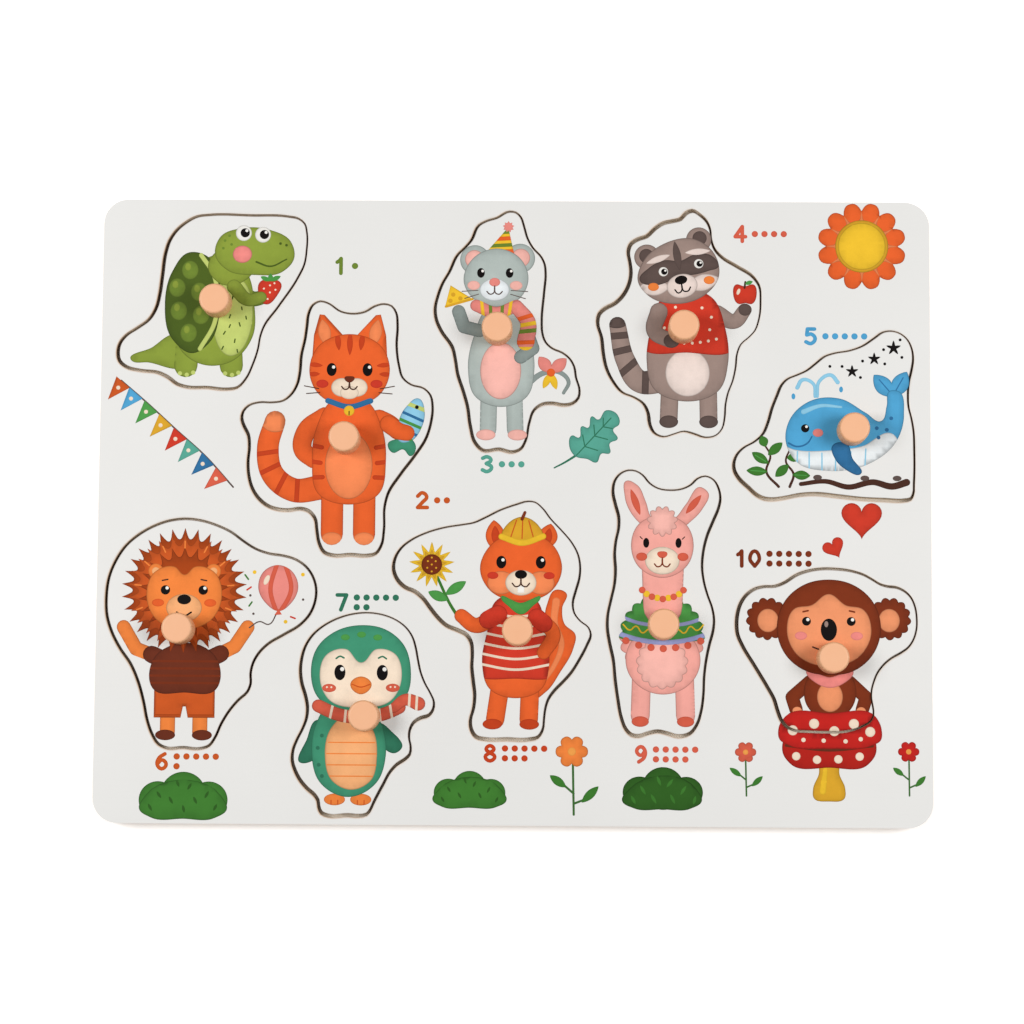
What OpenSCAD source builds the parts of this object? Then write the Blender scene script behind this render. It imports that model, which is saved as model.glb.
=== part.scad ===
// Wooden peg puzzle: a board of two glued layers, ten flat pieces that lie in sockets of the
// upper layer, and a turned peg glued into each piece. Millimetres. The board lies flat with its
// picture side up, its lower edge towards -Y, and the origin under its middle.

/* [Board] */
// Radius of the board's four corners
corner_radius = 9; // [4:1:12]
// Thickness of the face board, which the pieces are cut from
face_thickness = 5; // [3:0.5:8]
// Thickness of the backing board glued under the face board
backing_thickness = 3; // [2:0.5:6]
// Least distance from the board's left edge to the upper row
upper_left_border = 5.8; // [4:0.2:8]
// Least distance from the upper row to the board's right edge
upper_right_border = 6; // [4:0.2:8]
// Least distance from the board's left edge to the lower row
lower_left_border = 3.5; // [3:0.1:8]
// Least distance from the lower row to the board's right edge
lower_right_border = 5.6; // [4:0.2:8]
// From the highest cut to the board's upper edge
top_border = 3; // [2.5:0.5:8]
// From the lowest cut to the board's lower edge
bottom_border = 3; // [2.5:0.5:8]
// Least height between a piece of the upper row and the piece below it
row_gap = 12.5; // [8:0.5:20]

/* [Cut] */
// Width of the cut between a piece and its socket
cut_gap = 0.9; // [0.5:0.1:1.2]
// Longest straight step along a curved cut
cut_step = 1.5; // [1:0.1:3]

/* [Pegs] */
// Diameter of a peg
peg_diameter = 11; // [8:0.5:14]
// Height of a peg above its piece
peg_height = 10; // [6:0.5:16]
// Rounding of a peg's upper edge
peg_edge_radius = 1; // [0.4:0.1:2]
// Diameter of the tenon under a peg
tenon_diameter = 6; // [4:0.5:7]
// Distance from the end of a tenon up from the underside of its piece
tenon_recess = 0.5; // [0.2:0.1:1]
// Chamfer at the end of a tenon
tenon_chamfer = 0.5; // [0.2:0.1:1]
// Room for glue all round a tenon
glue_gap = 0.05; // [0.02:0.01:0.2]

/* [Upper pieces] */
// Width of the turtle piece's cut outline
turtle_width = 68; // [65:0.5:70]
// Height of the turtle piece's cut outline
turtle_height = 64; // [61:0.5:66]
// How far the turtle's cut lies below the top border
turtle_drop = 2.6; // [0:0.2:8]
// Width of the cat piece's cut outline
cat_width = 69; // [66:0.5:72]
// Height of the cat piece's cut outline
cat_height = 92.5; // [88:0.5:95]
// Width of the mouse piece's cut outline
mouse_width = 52.5; // [51:0.5:55]
// Height of the mouse piece's cut outline
mouse_height = 88; // [84:0.5:90]
// How far the mouse's cut lies below the top border
mouse_drop = 1; // [0:0.2:6]
// Width of the raccoon piece's cut outline
raccoon_width = 59; // [57:0.5:62]
// Height of the raccoon piece's cut outline
raccoon_height = 83; // [80:0.5:85]
// How far the raccoon's cut lies below the top border
raccoon_drop = 0; // [0:0.2:4]
// Width of the whale piece's cut outline
whale_width = 65; // [63:0.5:68]
// Height of the whale piece's cut outline
whale_height = 61.5; // [59:0.5:64]
// How far the whale's cut lies below the top border
whale_drop = 44.4; // [40:0.5:48]

/* [Lower pieces] */
// Width of the hedgehog piece's cut outline
hedgehog_width = 75.5; // [72:0.5:77]
// Height of the hedgehog piece's cut outline
hedgehog_height = 82.5; // [78:0.5:85]
// Width of the penguin piece's cut outline
penguin_width = 50.5; // [48:0.5:52]
// Height of the penguin piece's cut outline
penguin_height = 72.5; // [69:0.5:73]
// How far the penguin's cut lies above the bottom border
penguin_rise = 0; // [0:0.5:3]
// Width of the squirrel piece's cut outline
squirrel_width = 71; // [68:0.5:73]
// Height of the squirrel piece's cut outline
squirrel_height = 85.5; // [81:0.5:87]
// Width of the llama piece's cut outline
llama_width = 40.5; // [39:0.5:42]
// Height of the llama piece's cut outline
llama_height = 95.5; // [91:0.5:98]
// How far the llama's cut lies above the bottom border
llama_rise = 29; // [24:0.5:30]
// Width of the koala piece's cut outline
koala_width = 64.5; // [62:0.5:67]
// Height of the koala piece's cut outline
koala_height = 58.5; // [56:0.5:60]
// How far the koala's cut lies above the bottom border
koala_rise = 31; // [26:0.5:34]

/* [Hidden] */
$fn = 96;
overrun = 1;
face_top = backing_thickness + face_thickness;
tenon_length = face_thickness - tenon_recess;

// The step from each piece to the next along its row, as shares of the step at which their
// outlines' boxes would just meet
upper_step_shares = [0.671, 1.009, 1.114, 0.843];
lower_step_shares = [0.876, 0.753, 1.107, 1.107];
// How far the cat lies below the turtle's top, as a share of the turtle's height
cat_drop_share = 0.496;
// How far the hedgehog and the squirrel lie above the penguin's foot, as shares of the penguin's height
hedgehog_rise_share = 0.327;
squirrel_rise_share = 0.38;

// For each animal: how the loose piece lies in its socket as shares of the cut's width, its peg's
// place as shares of the outline's width and height from its lower left, and the outline's own
// points as the same shares, anticlockwise from the middle of its lower edge.
turtle_lie_shares = [0.42, 0.15];
turtle_peg_shares = [0.522, 0.492];
turtle_outline_shares = [
    [0.580, 0.000], [0.640, 0.010], [0.685, 0.060], [0.720, 0.140], [0.747, 0.230],
    [0.759, 0.305], [0.775, 0.355], [0.850, 0.470], [0.955, 0.640], [0.988, 0.715],
    [1.000, 0.800], [1.000, 0.900], [0.987, 0.952], [0.955, 0.980], [0.900, 0.992],
    [0.700, 0.998], [0.480, 1.000], [0.410, 0.990], [0.350, 0.955], [0.300, 0.908],
    [0.265, 0.850], [0.245, 0.780], [0.230, 0.650], [0.217, 0.540], [0.200, 0.465],
    [0.165, 0.400], [0.100, 0.347], [0.040, 0.303], [0.010, 0.260], [0.000, 0.210],
    [0.010, 0.158], [0.045, 0.126], [0.120, 0.105], [0.220, 0.092], [0.270, 0.067],
    [0.320, 0.028], [0.370, 0.012], [0.480, 0.009]
];

cat_lie_shares = [0.15, 0.38];
cat_peg_shares = [0.544, 0.452];
cat_outline_shares = [
    [0.490, 0.000], [0.580, 0.003], [0.665, 0.000], [0.710, 0.008], [0.738, 0.038],
    [0.752, 0.100], [0.755, 0.195], [0.770, 0.240], [0.835, 0.318], [0.910, 0.393],
    [0.967, 0.460], [0.993, 0.525], [1.000, 0.585], [0.988, 0.630], [0.955, 0.656],
    [0.885, 0.672], [0.842, 0.698], [0.822, 0.745], [0.808, 0.825], [0.812, 0.905],
    [0.803, 0.957], [0.780, 0.982], [0.740, 0.990], [0.690, 0.981], [0.640, 0.959],
    [0.580, 0.951], [0.515, 0.959], [0.440, 0.994], [0.405, 1.000], [0.365, 0.985],
    [0.344, 0.953], [0.335, 0.900], [0.327, 0.853], [0.308, 0.785], [0.301, 0.715],
    [0.290, 0.675], [0.262, 0.635], [0.215, 0.606], [0.160, 0.599], [0.090, 0.599],
    [0.035, 0.586], [0.006, 0.562], [0.000, 0.533], [0.012, 0.506], [0.036, 0.470],
    [0.042, 0.425], [0.036, 0.365], [0.042, 0.308], [0.060, 0.262], [0.098, 0.219],
    [0.150, 0.190], [0.205, 0.178], [0.255, 0.176], [0.315, 0.182], [0.360, 0.172],
    [0.389, 0.147], [0.402, 0.095], [0.414, 0.048], [0.442, 0.012]
];

mouse_lie_shares = [0.2, 0.28];
mouse_peg_shares = [0.429, 0.500];
mouse_outline_shares = [
    [0.450, 0.011], [0.545, 0.000], [0.598, 0.013], [0.630, 0.046], [0.655, 0.120],
    [0.690, 0.175], [0.745, 0.198], [0.815, 0.202], [0.895, 0.195], [0.955, 0.203],
    [0.993, 0.225], [1.000, 0.255], [0.975, 0.310], [0.962, 0.355], [0.930, 0.388],
    [0.880, 0.412], [0.810, 0.430], [0.765, 0.455], [0.742, 0.492], [0.737, 0.540],
    [0.752, 0.660], [0.762, 0.745], [0.755, 0.780], [0.735, 0.807], [0.670, 0.851],
    [0.636, 0.888], [0.610, 0.940], [0.588, 0.977], [0.555, 0.996], [0.510, 1.000],
    [0.420, 0.973], [0.350, 0.960], [0.300, 0.943], [0.245, 0.878], [0.205, 0.850],
    [0.155, 0.820], [0.095, 0.745], [0.050, 0.698], [0.018, 0.645], [0.000, 0.590],
    [0.010, 0.545], [0.042, 0.502], [0.125, 0.427], [0.143, 0.380], [0.160, 0.320],
    [0.198, 0.252], [0.228, 0.190], [0.250, 0.105], [0.285, 0.036], [0.335, 0.007]
];

raccoon_lie_shares = [0.35, -0.48];
raccoon_peg_shares = [0.521, 0.478];
raccoon_outline_shares = [
    [0.530, 0.026], [0.590, 0.016], [0.660, 0.000], [0.725, 0.009], [0.763, 0.038],
    [0.779, 0.085], [0.785, 0.145], [0.800, 0.195], [0.828, 0.247], [0.847, 0.310],
    [0.855, 0.365], [0.878, 0.408], [0.930, 0.442], [0.965, 0.470], [0.988, 0.515],
    [1.000, 0.600], [0.990, 0.670], [0.955, 0.706], [0.850, 0.755], [0.760, 0.795],
    [0.718, 0.829], [0.698, 0.868], [0.691, 0.915], [0.670, 0.951], [0.630, 0.980],
    [0.580, 0.999], [0.540, 0.987], [0.510, 0.963], [0.460, 0.953], [0.405, 0.944],
    [0.352, 0.920], [0.300, 0.885], [0.245, 0.871], [0.205, 0.852], [0.187, 0.815],
    [0.197, 0.770], [0.204, 0.725], [0.193, 0.675], [0.160, 0.627], [0.105, 0.587],
    [0.045, 0.564], [0.010, 0.540], [0.000, 0.505], [0.025, 0.435], [0.036, 0.365],
    [0.056, 0.300], [0.098, 0.241], [0.152, 0.196], [0.225, 0.174], [0.283, 0.146],
    [0.311, 0.105], [0.322, 0.055], [0.347, 0.020], [0.405, 0.002], [0.465, 0.013]
];

whale_lie_shares = [0.25, 0.52];
whale_peg_shares = [0.653, 0.404];
whale_outline_shares = [
    [0.570, 0.023], [0.700, 0.008], [0.830, 0.002], [0.945, 0.000], [0.978, 0.008],
    [0.992, 0.035], [0.997, 0.100], [1.000, 0.300], [0.997, 0.405], [0.984, 0.490],
    [0.970, 0.550], [0.967, 0.620], [0.973, 0.700], [0.989, 0.775], [0.997, 0.835],
    [0.990, 0.895], [0.967, 0.948], [0.930, 0.983], [0.880, 1.000], [0.830, 0.993],
    [0.785, 0.960], [0.715, 0.910], [0.645, 0.883], [0.560, 0.867], [0.507, 0.848],
    [0.457, 0.806], [0.405, 0.763], [0.350, 0.736], [0.298, 0.712], [0.265, 0.675],
    [0.241, 0.615], [0.213, 0.540], [0.190, 0.455], [0.162, 0.387], [0.120, 0.345],
    [0.050, 0.301], [0.018, 0.264], [0.002, 0.222], [0.004, 0.170], [0.028, 0.125],
    [0.080, 0.072], [0.130, 0.025], [0.170, 0.006], [0.215, 0.002], [0.275, 0.010],
    [0.365, 0.029], [0.450, 0.035]
];

hedgehog_lie_shares = [0.12, 0.1];
hedgehog_peg_shares = [0.353, 0.516];
hedgehog_outline_shares = [
    [0.380, 0.004], [0.460, 0.000], [0.502, 0.013], [0.528, 0.045], [0.558, 0.107],
    [0.600, 0.170], [0.640, 0.213], [0.680, 0.247], [0.695, 0.283], [0.694, 0.325],
    [0.705, 0.372], [0.728, 0.411], [0.770, 0.452], [0.850, 0.497], [0.925, 0.539],
    [0.972, 0.587], [0.996, 0.642], [1.000, 0.700], [0.985, 0.748], [0.950, 0.794],
    [0.900, 0.825], [0.840, 0.841], [0.778, 0.849], [0.708, 0.871], [0.650, 0.904],
    [0.595, 0.941], [0.523, 0.972], [0.446, 0.993], [0.370, 1.000], [0.298, 0.992],
    [0.222, 0.968], [0.150, 0.930], [0.090, 0.882], [0.043, 0.817], [0.012, 0.745],
    [0.000, 0.655], [0.005, 0.575], [0.030, 0.502], [0.070, 0.433], [0.122, 0.365],
    [0.160, 0.287], [0.187, 0.202], [0.207, 0.118], [0.232, 0.058], [0.262, 0.018],
    [0.300, 0.002]
];

penguin_lie_shares = [0.22, 0.48];
penguin_peg_shares = [0.509, 0.485];
penguin_outline_shares = [
    [0.400, 0.003], [0.480, 0.000], [0.530, 0.007], [0.556, 0.028], [0.578, 0.062], [0.645, 0.153],
    [0.695, 0.217], [0.740, 0.252], [0.802, 0.281], [0.832, 0.303], [0.838, 0.342],
    [0.826, 0.385], [0.833, 0.428], [0.858, 0.460], [0.905, 0.482], [0.965, 0.496],
    [0.993, 0.522], [1.000, 0.560], [0.975, 0.603], [0.934, 0.654], [0.904, 0.707],
    [0.883, 0.772], [0.867, 0.830], [0.843, 0.882], [0.797, 0.928], [0.731, 0.963],
    [0.650, 0.987], [0.540, 1.000], [0.405, 0.992], [0.295, 0.967], [0.205, 0.932],
    [0.133, 0.888], [0.082, 0.831], [0.057, 0.770], [0.050, 0.706], [0.062, 0.646],
    [0.087, 0.591], [0.103, 0.533], [0.097, 0.478], [0.072, 0.428], [0.032, 0.372],
    [0.005, 0.321], [0.000, 0.270], [0.025, 0.214], [0.062, 0.169], [0.112, 0.130],
    [0.162, 0.100], [0.186, 0.074], [0.192, 0.044], [0.212, 0.013], [0.260, 0.000]
];

squirrel_lie_shares = [0.28, 0.5];
squirrel_peg_shares = [0.628, 0.448];
squirrel_outline_shares = [
    [0.580, 0.000], [0.690, 0.000], [0.736, 0.010], [0.760, 0.042], [0.766, 0.085],
    [0.772, 0.127], [0.787, 0.168], [0.817, 0.204], [0.858, 0.239], [0.900, 0.278],
    [0.943, 0.335], [0.982, 0.398], [1.000, 0.440], [0.988, 0.469], [0.947, 0.496],
    [0.916, 0.530], [0.908, 0.570], [0.922, 0.620], [0.941, 0.677], [0.945, 0.720],
    [0.934, 0.775], [0.900, 0.828], [0.850, 0.877], [0.794, 0.926], [0.749, 0.974],
    [0.715, 0.996],
    [0.680, 1.000], [0.622, 0.987], [0.538, 0.962], [0.462, 0.930], [0.403, 0.908],
    [0.350, 0.900], [0.250, 0.886], [0.160, 0.863], [0.085, 0.832], [0.037, 0.799],
    [0.007, 0.756], [0.000, 0.708], [0.020, 0.666], [0.058, 0.635], [0.110, 0.616],
    [0.148, 0.590], [0.188, 0.547], [0.227, 0.507], [0.270, 0.475], [0.330, 0.454],
    [0.372, 0.436], [0.395, 0.407], [0.402, 0.360], [0.400, 0.302], [0.408, 0.240],
    [0.416, 0.182], [0.410, 0.127], [0.395, 0.077], [0.400, 0.040], [0.425, 0.009],
    [0.470, 0.000]
];

llama_lie_shares = [0.12, 0.5];
llama_peg_shares = [0.489, 0.412];
llama_outline_shares = [
    [0.445, 0.018], [0.530, 0.011], [0.625, 0.000], [0.732, 0.011], [0.790, 0.042],
    [0.830, 0.094], [0.850, 0.157], [0.856, 0.220], [0.871, 0.277], [0.904, 0.346],
    [0.935, 0.395], [0.944, 0.435], [0.928, 0.480], [0.887, 0.529], [0.854, 0.580],
    [0.838, 0.635], [0.850, 0.697], [0.880, 0.750], [0.936, 0.809], [0.985, 0.860],
    [1.000, 0.893], [0.985, 0.932], [0.940, 0.965], [0.865, 0.979], [0.798, 0.970],
    [0.738, 0.946], [0.658, 0.930], [0.552, 0.925], [0.446, 0.932], [0.372, 0.951],
    [0.307, 0.983], [0.250, 0.997], [0.185, 1.000], [0.112, 0.987], [0.062, 0.960],
    [0.045, 0.921], [0.070, 0.866], [0.097, 0.823], [0.097, 0.781], [0.073, 0.732],
    [0.062, 0.683], [0.070, 0.620], [0.062, 0.570], [0.030, 0.508], [0.003, 0.452],
    [0.000, 0.402], [0.021, 0.346], [0.053, 0.284], [0.070, 0.212], [0.095, 0.136],
    [0.127, 0.066], [0.168, 0.024], [0.217, 0.004], [0.275, 0.000], [0.362, 0.011]
];

koala_lie_shares = [0.42, 0.0];
koala_peg_shares = [0.522, 0.449];
koala_outline_shares = [
    [0.495, 0.000], [0.590, 0.003], [0.650, 0.017], [0.702, 0.041], [0.741, 0.070],
    [0.757, 0.107], [0.754, 0.158], [0.746, 0.206], [0.747, 0.254], [0.759, 0.307],
    [0.780, 0.363], [0.815, 0.414], [0.859, 0.455], [0.910, 0.487], [0.952, 0.521],
    [0.981, 0.569], [0.998, 0.632], [1.000, 0.700], [0.991, 0.769], [0.967, 0.829],
    [0.928, 0.869], [0.888, 0.888], [0.838, 0.894], [0.800, 0.906], [0.759, 0.933],
    [0.708, 0.964], [0.644, 0.986], [0.550, 0.999], [0.479, 1.000], [0.407, 0.989],
    [0.342, 0.966], [0.256, 0.908], [0.213, 0.891], [0.149, 0.888], [0.098, 0.872],
    [0.055, 0.837], [0.023, 0.785], [0.005, 0.720], [0.000, 0.656], [0.006, 0.592],
    [0.031, 0.528], [0.100, 0.402], [0.170, 0.274], [0.206, 0.202], [0.228, 0.125],
    [0.247, 0.072], [0.273, 0.035], [0.312, 0.012], [0.395, 0.003]
];

// The two rows, from left to right
upper_widths = [turtle_width, cat_width, mouse_width, raccoon_width, whale_width];
upper_heights = [turtle_height, cat_height, mouse_height, raccoon_height, whale_height];
cat_drop = turtle_drop + cat_drop_share * turtle_height;
upper_drops = [turtle_drop, cat_drop, mouse_drop, raccoon_drop, whale_drop];
lower_widths = [hedgehog_width, penguin_width, squirrel_width, llama_width, koala_width];
lower_heights = [hedgehog_height, penguin_height, squirrel_height, llama_height, koala_height];
hedgehog_rise = penguin_rise + hedgehog_rise_share * penguin_height;
squirrel_rise = penguin_rise + squirrel_rise_share * penguin_height;
lower_rises = [hedgehog_rise, penguin_rise, squirrel_rise, llama_rise, koala_rise];
steps_along = len(upper_widths) - 1;

function total(values, first = 0) =
    first < len(values) ? values[first] + total(values, first + 1) : 0;
// Distance from a row's left end to the middle of its piece i
function along(widths, step_shares, i) =
    widths[0] / 2 + total([for (k = [0 : 1 : i - 1]) step_shares[k] * (widths[k] + widths[k + 1]) / 2]);
function run(widths, step_shares) =
    along(widths, step_shares, steps_along) + widths[steps_along] / 2;

// The board is as wide and as high as its two rows of pieces and the borders round them need
upper_row = upper_left_border + run(upper_widths, upper_step_shares) + upper_right_border;
lower_row = lower_left_border + run(lower_widths, lower_step_shares) + lower_right_border;
board_width = max(upper_row, lower_row);
board_height = top_border + bottom_border + max([for (i = [0 : steps_along])
    upper_drops[i] + upper_heights[i] + row_gap + lower_heights[i] + lower_rises[i]]);

// Middle of an upper or a lower piece's outline on the board. The shorter row is spread evenly.
function upper_centre(i) = [
    upper_left_border + along(upper_widths, upper_step_shares, i) - board_width / 2
        + (board_width - upper_row) * i / steps_along,
    board_height / 2 - top_border - upper_drops[i] - upper_heights[i] / 2];
function lower_centre(i) = [
    lower_left_border + along(lower_widths, lower_step_shares, i) - board_width / 2
        + (board_width - lower_row) * i / steps_along,
    bottom_border + lower_rises[i] + lower_heights[i] / 2 - board_height / 2];

// One animal's values in one list, read by the functions below
turtle = [[turtle_width, turtle_height], upper_centre(0),
    turtle_lie_shares, turtle_peg_shares, turtle_outline_shares];
cat = [[cat_width, cat_height], upper_centre(1),
    cat_lie_shares, cat_peg_shares, cat_outline_shares];
mouse = [[mouse_width, mouse_height], upper_centre(2),
    mouse_lie_shares, mouse_peg_shares, mouse_outline_shares];
raccoon = [[raccoon_width, raccoon_height], upper_centre(3),
    raccoon_lie_shares, raccoon_peg_shares, raccoon_outline_shares];
whale = [[whale_width, whale_height], upper_centre(4),
    whale_lie_shares, whale_peg_shares, whale_outline_shares];
hedgehog = [[hedgehog_width, hedgehog_height], lower_centre(0),
    hedgehog_lie_shares, hedgehog_peg_shares, hedgehog_outline_shares];
penguin = [[penguin_width, penguin_height], lower_centre(1),
    penguin_lie_shares, penguin_peg_shares, penguin_outline_shares];
squirrel = [[squirrel_width, squirrel_height], lower_centre(2),
    squirrel_lie_shares, squirrel_peg_shares, squirrel_outline_shares];
llama = [[llama_width, llama_height], lower_centre(3),
    llama_lie_shares, llama_peg_shares, llama_outline_shares];
koala = [[koala_width, koala_height], lower_centre(4),
    koala_lie_shares, koala_peg_shares, koala_outline_shares];
animals = [turtle, cat, mouse, raccoon, whale, hedgehog, penguin, squirrel, llama, koala];

// A share pair times a pair of sizes
function scaled(shares, sizes) = [shares[0] * sizes[0], shares[1] * sizes[1]];
function unit(v) = v / norm(v);
// A quarter turn to the right: outwards, on an outline that runs anticlockwise
function turned_right(v) = [v[1], -v[0]];

// Lower left corner of an animal's outline on the board
function corner(animal) = animal[1] - animal[0] / 2;
// How far the loose piece lies from the middle of its socket
function lie(animal) = animal[2] * cut_gap;
function peg_place(animal) = corner(animal) + lie(animal) + scaled(animal[3], animal[0]);
function outline_points(animal) =
    [for (share = animal[4]) corner(animal) + scaled(share, animal[0])];

// Direction of a smooth curve through a point, that of the circle through it and its neighbours
function heading(points, i) =
    let (count = len(points),
        before = points[i] - points[(i + count - 1) % count],
        after = points[(i + 1) % count] - points[i])
    unit(unit(before) * norm(after) + unit(after) * norm(before));

// A cubic from p to q that leaves p along a and reaches q along b, at t from 0 to 1, and its direction
function cubic(p, q, a, b, t) =
    p * (2 * t ^ 3 - 3 * t ^ 2 + 1) + a * (t ^ 3 - 2 * t ^ 2 + t)
    + q * (3 * t ^ 2 - 2 * t ^ 3) + b * (t ^ 3 - t ^ 2);
function cubic_direction(p, q, a, b, t) =
    (q - p) * (6 * t - 6 * t ^ 2) + a * (3 * t ^ 2 - 4 * t + 1) + b * (3 * t ^ 2 - 2 * t);

// The smooth closed cut through an animal's outline points, moved outwards by aside
function cut_line(animal, aside) =
    let (points = outline_points(animal), count = len(points))
    [for (i = [0 : count - 1])
        let (p = points[i], q = points[(i + 1) % count],
            chord = norm(q - p),
            a = heading(points, i) * chord,
            b = heading(points, (i + 1) % count) * chord,
            steps = ceil(chord / cut_step))
        for (step = [0 : steps - 1])
            let (t = step / steps)
            cubic(p, q, a, b, t) + turned_right(unit(cubic_direction(p, q, a, b, t))) * aside];

// The board's outline, a rectangle with four round corners
module board_outline() {
    x = board_width / 2 - corner_radius;
    y = board_height / 2 - corner_radius;
    square([board_width, 2 * y], center = true);
    square([2 * x, board_height], center = true);
    for (side = [-1, 1], end = [-1, 1])
        translate([side * x, end * y])
            circle(corner_radius);
}

// The opening cut through the face board for one animal
module socket(animal) {
    translate([0, 0, backing_thickness - overrun])
        linear_extrude(face_thickness + 2 * overrun)
            polygon(cut_line(animal, cut_gap / 2));
}

// One flat piece, lying on the backing board, bored through for its peg's tenon
module animal_piece(animal) {
    bore_place = peg_place(animal);
    difference() {
        translate([lie(animal)[0], lie(animal)[1], backing_thickness])
            linear_extrude(face_thickness)
                polygon(cut_line(animal, -cut_gap / 2));
        translate([bore_place[0], bore_place[1], backing_thickness - overrun])
            cylinder(h = face_thickness + 2 * overrun, d = tenon_diameter + 2 * glue_gap);
    }
}

// One turned peg: a plain round head with a rounded upper edge, and a chamfered tenon below
module animal_peg(animal) {
    place = peg_place(animal);
    head_radius = peg_diameter / 2;
    tenon_radius = tenon_diameter / 2;
    translate([place[0], place[1], face_top])
        rotate_extrude() {
            square([head_radius, peg_height - peg_edge_radius]);
            square([head_radius - peg_edge_radius, peg_height]);
            translate([head_radius - peg_edge_radius, peg_height - peg_edge_radius])
                circle(peg_edge_radius);
            polygon([
                [0, 0], [0, -tenon_length], [tenon_radius - tenon_chamfer, -tenon_length],
                [tenon_radius, tenon_chamfer - tenon_length], [tenon_radius, 0]
            ]);
        }
}

// The face board, painted white, with a socket for each animal
module face_board() {
    color("white")
        difference() {
            translate([0, 0, backing_thickness])
                linear_extrude(face_thickness)
                    board_outline();
            for (animal = animals)
                socket(animal);
        }
}

// The plain backing board, which closes the sockets from below
module backing_board() {
    color("tan")
        linear_extrude(backing_thickness)
            board_outline();
}

module turtle_piece() color("white") animal_piece(turtle);
module turtle_peg() color("burlywood") animal_peg(turtle);
module cat_piece() color("white") animal_piece(cat);
module cat_peg() color("burlywood") animal_peg(cat);
module mouse_piece() color("white") animal_piece(mouse);
module mouse_peg() color("burlywood") animal_peg(mouse);
module raccoon_piece() color("white") animal_piece(raccoon);
module raccoon_peg() color("burlywood") animal_peg(raccoon);
module whale_piece() color("white") animal_piece(whale);
module whale_peg() color("burlywood") animal_peg(whale);
module hedgehog_piece() color("white") animal_piece(hedgehog);
module hedgehog_peg() color("burlywood") animal_peg(hedgehog);
module penguin_piece() color("white") animal_piece(penguin);
module penguin_peg() color("burlywood") animal_peg(penguin);
module squirrel_piece() color("white") animal_piece(squirrel);
module squirrel_peg() color("burlywood") animal_peg(squirrel);
module llama_piece() color("white") animal_piece(llama);
module llama_peg() color("burlywood") animal_peg(llama);
module koala_piece() color("white") animal_piece(koala);
module koala_peg() color("burlywood") animal_peg(koala);

face_board();
backing_board();
turtle_piece();
turtle_peg();
cat_piece();
cat_peg();
mouse_piece();
mouse_peg();
raccoon_piece();
raccoon_peg();
whale_piece();
whale_peg();
hedgehog_piece();
hedgehog_peg();
penguin_piece();
penguin_peg();
squirrel_piece();
squirrel_peg();
llama_piece();
llama_peg();
koala_piece();
koala_peg();
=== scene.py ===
import functools
import math
import bpy
import numpy as np
from mathutils import Matrix, Vector
from mathutils.geometry import delaunay_2d_cdt


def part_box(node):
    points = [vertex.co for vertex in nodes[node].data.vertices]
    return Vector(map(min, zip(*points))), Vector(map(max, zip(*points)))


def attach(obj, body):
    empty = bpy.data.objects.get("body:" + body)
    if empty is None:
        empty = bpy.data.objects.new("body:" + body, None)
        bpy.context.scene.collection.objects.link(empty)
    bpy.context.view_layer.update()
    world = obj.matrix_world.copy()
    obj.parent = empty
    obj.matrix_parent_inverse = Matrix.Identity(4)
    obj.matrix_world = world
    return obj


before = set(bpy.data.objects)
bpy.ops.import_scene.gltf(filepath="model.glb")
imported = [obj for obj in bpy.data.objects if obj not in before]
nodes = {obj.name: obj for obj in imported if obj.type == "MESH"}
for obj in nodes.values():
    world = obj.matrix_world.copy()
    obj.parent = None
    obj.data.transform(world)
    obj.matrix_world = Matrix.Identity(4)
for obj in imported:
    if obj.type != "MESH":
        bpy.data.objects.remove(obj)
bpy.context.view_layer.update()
animals = ["turtle", "cat", "mouse", "raccoon", "whale", "hedgehog", "penguin", "squirrel", "llama", "koala"]
mm = 0.001


# sRGB hex to linear light: the lower part is divided by 12.92, the rest is raised to the power 2.4
def linear(hexColour):
    c = np.array([int(hexColour[i:i + 2], 16) for i in (0, 2, 4)]) / 255
    return tuple(np.where(c <= 0.04045, c / 12.92, ((c + 0.055) / 1.055) ** 2.4)) + (1.0,)


# ---- camera, light and floor
view = {
    "tilt": (-5.426, -0.736, -0.316),     # degrees about x, y and z, from the photograph's four board corners
    "place": (0.729, 0.675, -1008.294),   # mm, the middle of the board's face in the camera's own axes
    "faceHeight": 8.0,                    # mm, the board's face above the floor
    "lens": 98.4375, "sensor": 36.0,      # mm
    "clip": (0.05, 50),                   # m
}
turn = Matrix.Identity(3)
for axis, angle in zip("XYZ", view["tilt"]):
    turn = Matrix.Rotation(math.radians(angle), 3, axis) @ turn
spot = Vector((0, 0, view["faceHeight"])) - turn.transposed() @ Vector(view["place"])
camera = bpy.data.objects.new("camera", bpy.data.cameras.new("camera"))
camera.data.lens, camera.data.sensor_width = view["lens"], view["sensor"]
camera.data.clip_start, camera.data.clip_end = view["clip"]
camera.matrix_world = Matrix.Translation(spot * mm) @ turn.transposed().to_4x4()
bpy.context.collection.objects.link(camera)
bpy.context.scene.camera = camera

studio = {
    "skyStrength": 0.3, "boxSize": 0.42, "floorSize": 6,  # m
    "boxes": {"softBoxLeft": (-0.72, 0.09, 0.74, 6.0), "softBoxRight": (0.72, 0.03, 0.74, 5.6)},  # m and watts
}
world = bpy.context.scene.world or bpy.data.worlds.new("studio")
bpy.context.scene.world = world
world.use_nodes = True
sky = world.node_tree.nodes["Background"].inputs
sky["Color"].default_value, sky["Strength"].default_value = (1, 1, 1, 1), studio["skyStrength"]
for name, (x, y, z, power) in studio["boxes"].items():
    lamp = bpy.data.objects.new(name, bpy.data.lights.new(name, "AREA"))
    lamp.data.shape, lamp.data.size, lamp.data.energy = "SQUARE", studio["boxSize"], power
    lamp.location = (x, y, z)
    lamp.rotation_euler = Vector((-x, -y, -z)).to_track_quat("-Z", "Y").to_euler()  # towards the board
    bpy.context.collection.objects.link(lamp)
bpy.context.scene.view_settings.view_transform = "Standard"
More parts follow.
